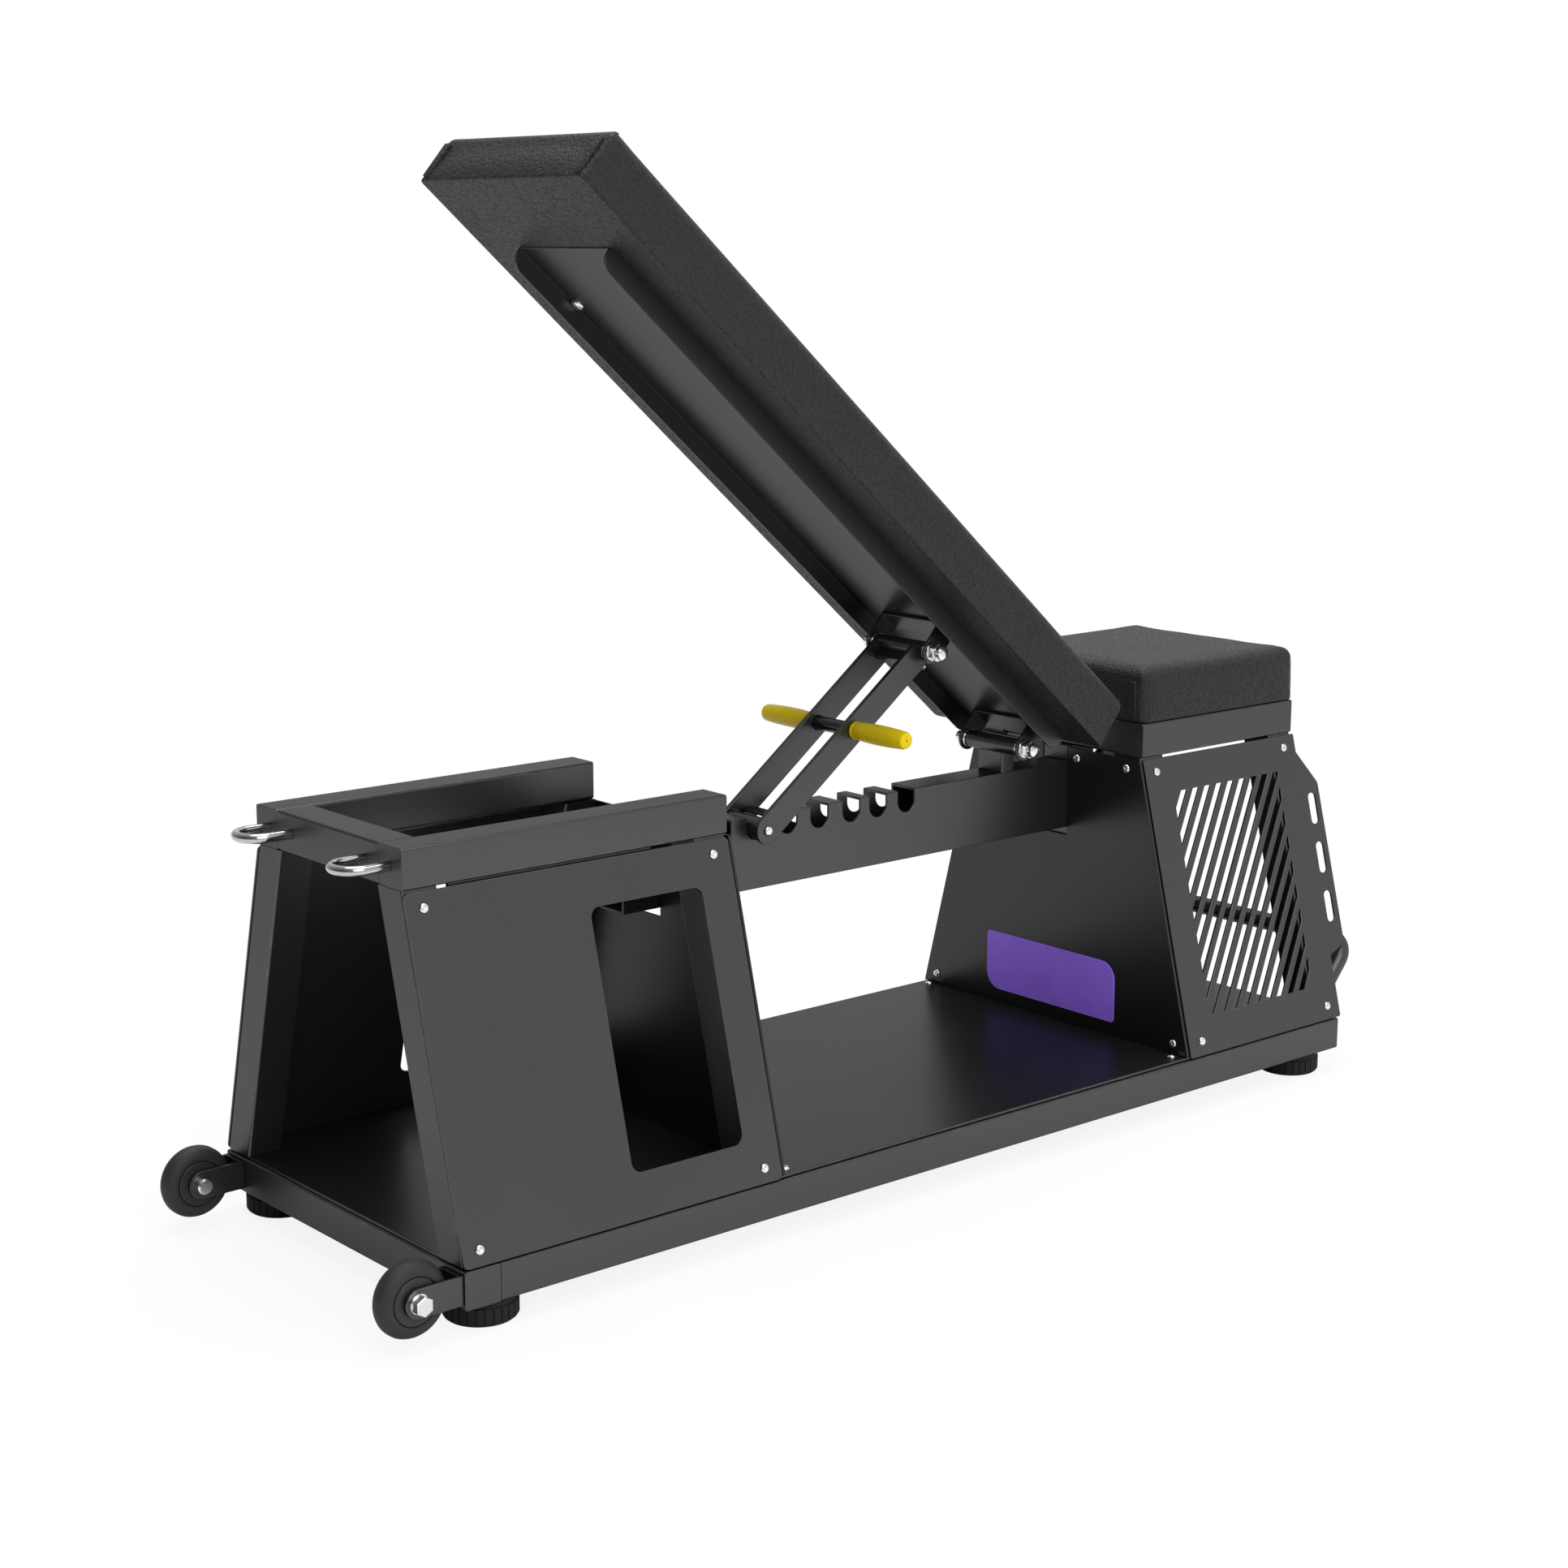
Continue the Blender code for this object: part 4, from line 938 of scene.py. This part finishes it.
def pivot_set(node, centre):
    """A pivot bolt with washers, a hexagon nut and domed end on the near side and a head on the far."""
    near, far = Vector((0, -1, 0)), Vector((0, 1, 0))
    near_face, far_face = centre + near * EAR_FACE, centre + far * EAR_FACE
    spacer = EAR_FACE - SPACER_INWARD
    dome = [
        (0.0078, 0.0), (0.0082, 0.0006), (0.0082, 0.0048), (0.0074, 0.0070), (0.0052, 0.0083), (0.0022, 0.0088),
    ]
    head = [(0.0062, 0.0), (0.0066, 0.0006), (0.0066, 0.0108), (0.0056, 0.0120)]
    parts = [
        turned("shank", [(BOLT_RADIUS, -EAR_FACE), (BOLT_RADIUS, EAR_FACE)], centre, (0, 1, 0), 24),
        washer("washer", 0.0108, WASHER_THICK, near_face, near),
        nut("nut", 0.0176, 0.0080, near_face + near * WASHER_THICK, near),
        turned("dome", dome, near_face + near * 0.0090, near, 32),
        washer("washer", 0.0098, WASHER_THICK, far_face, far),
        turned("head", head, far_face + far * WASHER_THICK, far, 32),
        washer("washer", SPACER_RADIUS, SPACER_THICK, centre + near * spacer, near),
        washer("washer", SPACER_RADIUS, SPACER_THICK, centre + far * spacer, far),
    ]
    return fit(joined(f"{node}_set", *parts), zinc, "zinc", "back", node)


pivot_set("hinge_bolt", HINGE + PIVOT_SHIFT)
pivot_set("strut_bolt", BACK @ KNEE)
web_places = [
    BACK @ Vector((CHANNEL_END + x, sign * CHANNEL_SCREW_Y, WEB_FACE))
    for x in CHANNEL_SCREW_X for sign in (-1, 1)
]
web_down = (BACK.to_3x3() @ Vector((0, 0, -1))).normalized()
screws("channel_screws", web_places, web_down, "back", 1.45)

# The strut: two flat steel bars on a cross sleeve, with a tie plate between them, a thick rod that lies in
# one of the beam's slots, and a thinner rod with a grip at each end for lifting it out.
SLOT_X = 0.5168
SLOT_LOW = 0.3612
REST_RADIUS = 0.0125
REST = Vector((ORIGIN_X + SLOT_X, 0.0, SLOT_LOW + 0.0003 + REST_RADIUS)) + PIVOT_SHIFT
knee_place = BACK @ KNEE
strut_angle = math.atan2(knee_place.x - REST.x, knee_place.z - REST.z)
STRUT = Matrix.Translation(knee_place) @ Matrix.Rotation(strut_angle, 4, "Y")
BAR_INNER = 0.0275
BAR_THICK = 0.006
for side in ("near", "far"):
    bar = drawn_from(f"strut_bar_{side}", f"strut_bar_{side}_flat")
    soften(bar, 0.0007, 2, 50.0)
    fit(bar, painted_steel, "frame_paint", "strut", f"strut_bar_{side}")
tie = block("tie", (-0.003, -BAR_INNER + 0.0003, -0.022), (0.003, BAR_INNER - 0.0003, -0.006))
soften(tie, 0.0008, 2)
settle(tie, STRUT)
upper_sleeve = sleeve("sleeve", SLEEVE_RADIUS, SLEEVE_HALF, knee_place)
fit(joined("strut_sleeve_with_tie", upper_sleeve, tie), painted_steel, "frame_paint", "strut", "strut_sleeve")
for side, sign in (("near", -1), ("far", 1)):
    outer = Vector((0.0, sign, 0.0))
    screws(f"strut_foot_screw_{side}", [REST + outer * (BAR_INNER + BAR_THICK)], outer, "strut", 1.15)

rod_steel = bare_metal("rod_steel", (0.06, 0.06, 0.063), 0.26, 260.0)
low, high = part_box("rest_rod")
half = (high.y - low.y) / 2
rest_profile = [
    (REST_RADIUS - 0.001, -half), (REST_RADIUS, -half + 0.001),
    (REST_RADIUS, half - 0.001), (REST_RADIUS - 0.001, half),
]
rest_rod = turned("rest_rod_bar", rest_profile, REST, (0, 1, 0), 64)
fit(rest_rod, painted_steel, "frame_paint", "frame", "rest_rod")
low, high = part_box("handle_rod")
rod_centre = (low + high) / 2
half = (high.y - low.y) / 2
rod_profile = [(0.0072, -half), (0.008, -half + 0.0008), (0.008, half - 0.0008), (0.0072, half)]
handle_rod = turned("handle_rod_bar", rod_profile, rod_centre, (0, 1, 0), 40)
fit(handle_rod, rod_steel, "rod_steel", "strut", "handle_rod")

YELLOW = (0.72, 0.53, 0.004)
yellow_grip = moulded("yellow_grip", YELLOW, 0.3, 400.0, 0.0002, 0.15)
for side, sign in (("near", -1), ("far", 1)):
    low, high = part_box(f"grip_{side}")
    inner_y, outer_y = (high.y, low.y) if sign < 0 else (low.y, high.y)
    length = abs(outer_y - inner_y)
    grip_profile = [
        (0.0084, 0.0), (0.0098, 0.0003), (0.0101, 0.0010), (0.0100, 0.0040), (0.0096, 0.0046),
        (0.0098, 0.0054),
        (0.0104, 0.0120), (0.0110, 0.0240), (0.0112, 0.0380), (0.0110, 0.0540), (0.0104, 0.0680),
        (0.0098, length - 0.0042), (0.0088, length - 0.0014), (0.0070, length - 0.0002), (0.0040, length),
        (0.0013, length), (0.0011, length - 0.0030),
    ]
    grip_start = (rod_centre.x, inner_y, rod_centre.z)
    grip = turned(f"grip_{side}_moulded", grip_profile, grip_start, (0, sign, 0))
    fit(grip, yellow_grip, "yellow_plastic", "strut", f"grip_{side}")

# The cushions: foam on a plywood board, stretched over with black leatherette that is folded at the
# corners and stapled beneath. The back's is long and flat, the seat's is square and crowned.
LEATHER_BLACK = (0.0085, 0.0085, 0.0088)
UNDERSIDE = 0.036
SWELL_LIMIT = 0.0014
SWELL_STEPS = 20
SWELL_PRESSURE = 2.0
CLOTH_STIFFNESS = 40.0
CLOTH_GRID = 0.012
CLOTH_SHY = 0.0012
BACK_PAD = ((-0.927, -0.1345, -0.002), (0.030, 0.1425, 0.0615))
SEAT_PAD = ((1.004, -0.1328, 0.4463), (1.280, 0.1328, 0.5118))


def leatherette(name):
    """Black leatherette with a pebbled grain about three millimetres across, with painted shade darkening the
    creases between the pebbles.
    """
    look = bpy.data.materials.new(name)
    nodes = Nodes(look)
    place = nodes.add("ShaderNodeTexCoord", output="Object")
    sway = {"Vector": place, "Scale": 160.0, "Detail": 2.0}
    warp = nodes.add("ShaderNodeTexNoise", sockets=sway, output="Color")
    swayed = nodes.add("ShaderNodeVectorMath", {"operation": "SCALE"}, {0: warp, "Scale": 0.006})
    grain_place = nodes.add("ShaderNodeVectorMath", {"operation": "ADD"}, {0: place, 1: swayed})
    grain = {"Vector": grain_place, "Scale": 300.0, "Smoothness": 0.6}
    pebble = nodes.add("ShaderNodeTexVoronoi", {"feature": "SMOOTH_F1"}, grain)
    cloud = nodes.add("ShaderNodeTexNoise", sockets={"Vector": place, "Scale": 11.0, "Detail": 4.0})
    crease = pebble.above(0.25, 0.75)
    dark = (*(c * 0.72 for c in LEATHER_BLACK), 1.0)
    light = (*(c * 1.18 for c in LEATHER_BLACK), 1.0)
    height = 1.0 - pebble + cloud * 0.4
    relief = {"Strength": 0.8, "Distance": 0.0011, "Height": height}
    bump = nodes.add("ShaderNodeBump", sockets=relief, output="Normal")
    nodes.join(nodes.tree.nodes["Principled BSDF"], {
        # The creases between the pebbles are coloured darker than their tops: painted shade.
        "Base Color": nodes.mix(crease * 0.7 + cloud * 0.3, light, dark),
        "Roughness": 0.48 + crease * 0.16 + cloud * 0.06,
        "Specular IOR Level": 0.38,
        "Normal": bump,
    })
    return look


black_leatherette = leatherette("black_leatherette")


def sliced(piece, low, high):
    """Cuts a piece into a grid, so that it can swell."""
    edit(piece, "FACE", lambda face: True)
    for axis in range(3):
        count = max(2, round((high[axis] - low[axis]) / CLOTH_GRID))
        normal = Vector([1.0 if axis == number else 0.0 for number in range(3)])
        for step in range(1, count):
            bpy.ops.mesh.select_all(action="SELECT")
            bpy.ops.mesh.bisect(plane_co=low + (high - low) * (step / count), plane_no=normal)
    bpy.ops.object.mode_set(mode="OBJECT")


def cushion(name, low, high, corner, crown, matrix):
    """A stuffed block: rounded edges, then blown up a little as cloth while its underside stays flat."""
    low, high = Vector(low), Vector(high)
    shy_high = high - Vector((CLOTH_SHY, CLOTH_SHY, CLOTH_SHY))
    piece = block(name, low + Vector((CLOTH_SHY, CLOTH_SHY, 0.0)), shy_high)
    soften(piece, corner, 4, wanted=runs_along(2))
    soften(piece, crown, 5, wanted=lambda edge: min(vert.co.z for vert in edge.verts) > shy_high.z - 1e-5)
    soften(piece, 0.0016, 2, wanted=lambda edge: max(vert.co.z for vert in edge.verts) < low.z + 1e-5)
    sliced(piece, low, high)
    blown_up(piece, low.z)
    smooth = piece.modifiers.new("finish", "SUBSURF")
    smooth.levels = 1
    smooth.render_levels = 1
    bpy.ops.object.modifier_apply(modifier=smooth.name)
    folds = []
    for side in (-1, 1):
        edge = (high.y if side > 0 else low.y) - side * (corner + 0.0055)
        fold_low = (low.x - 0.0009, edge - 0.0045, low.z + 0.004)
        fold = block("fold", fold_low, (low.x + 0.004, edge + 0.0045, high.z - crown - 0.004))
        soften(fold, 0.0011, 3)
        folds.append(fold)
    joined(name, piece, *folds)
    settle(piece, matrix)
    bpy.ops.object.shade_smooth()
    return piece


def blown_up(piece, floor_height):
    """Cloth filled with air for a moment, with its underside held."""
    rest = [vert.co.copy() for vert in piece.data.vertices]
    held = piece.vertex_groups.new(name="held")
    held.add([i for i, place in enumerate(rest) if place.z < floor_height + 0.006], 1.0, "REPLACE")
    cloth = piece.modifiers.new("cloth", "CLOTH")
    cloth.settings.use_pressure = True
    cloth.settings.uniform_pressure_force = SWELL_PRESSURE
    cloth.settings.tension_stiffness = CLOTH_STIFFNESS
    cloth.settings.compression_stiffness = CLOTH_STIFFNESS
    cloth.settings.vertex_group_mass = "held"
    cloth.settings.effector_weights.gravity = 0.0
    cloth.settings.quality = 4
    cloth.point_cache.frame_end = SWELL_STEPS
    for number in range(1, SWELL_STEPS + 1):
        bpy.context.scene.frame_set(number)
    bpy.ops.object.modifier_apply(modifier=cloth.name)
    for vert, start in zip(piece.data.vertices, rest):
        moved = vert.co - start
        if moved.length > SWELL_LIMIT:
            vert.co = start + moved.normalized() * SWELL_LIMIT


back_pad = cushion("back_cushion", *BACK_PAD, 0.006, 0.013, BACK @ Matrix.Translation((0.0, 0.0, UNDERSIDE)))
fit(back_pad, black_leatherette, "leatherette", "back", "back_pad", "back_board")
seat_pad = cushion("seat_cushion", *SEAT_PAD, 0.012, 0.014, Matrix.Translation((ORIGIN_X, 0.0, 0.0)))
fit(seat_pad, black_leatherette, "leatherette", "frame", "seat_pad", "seat_board")
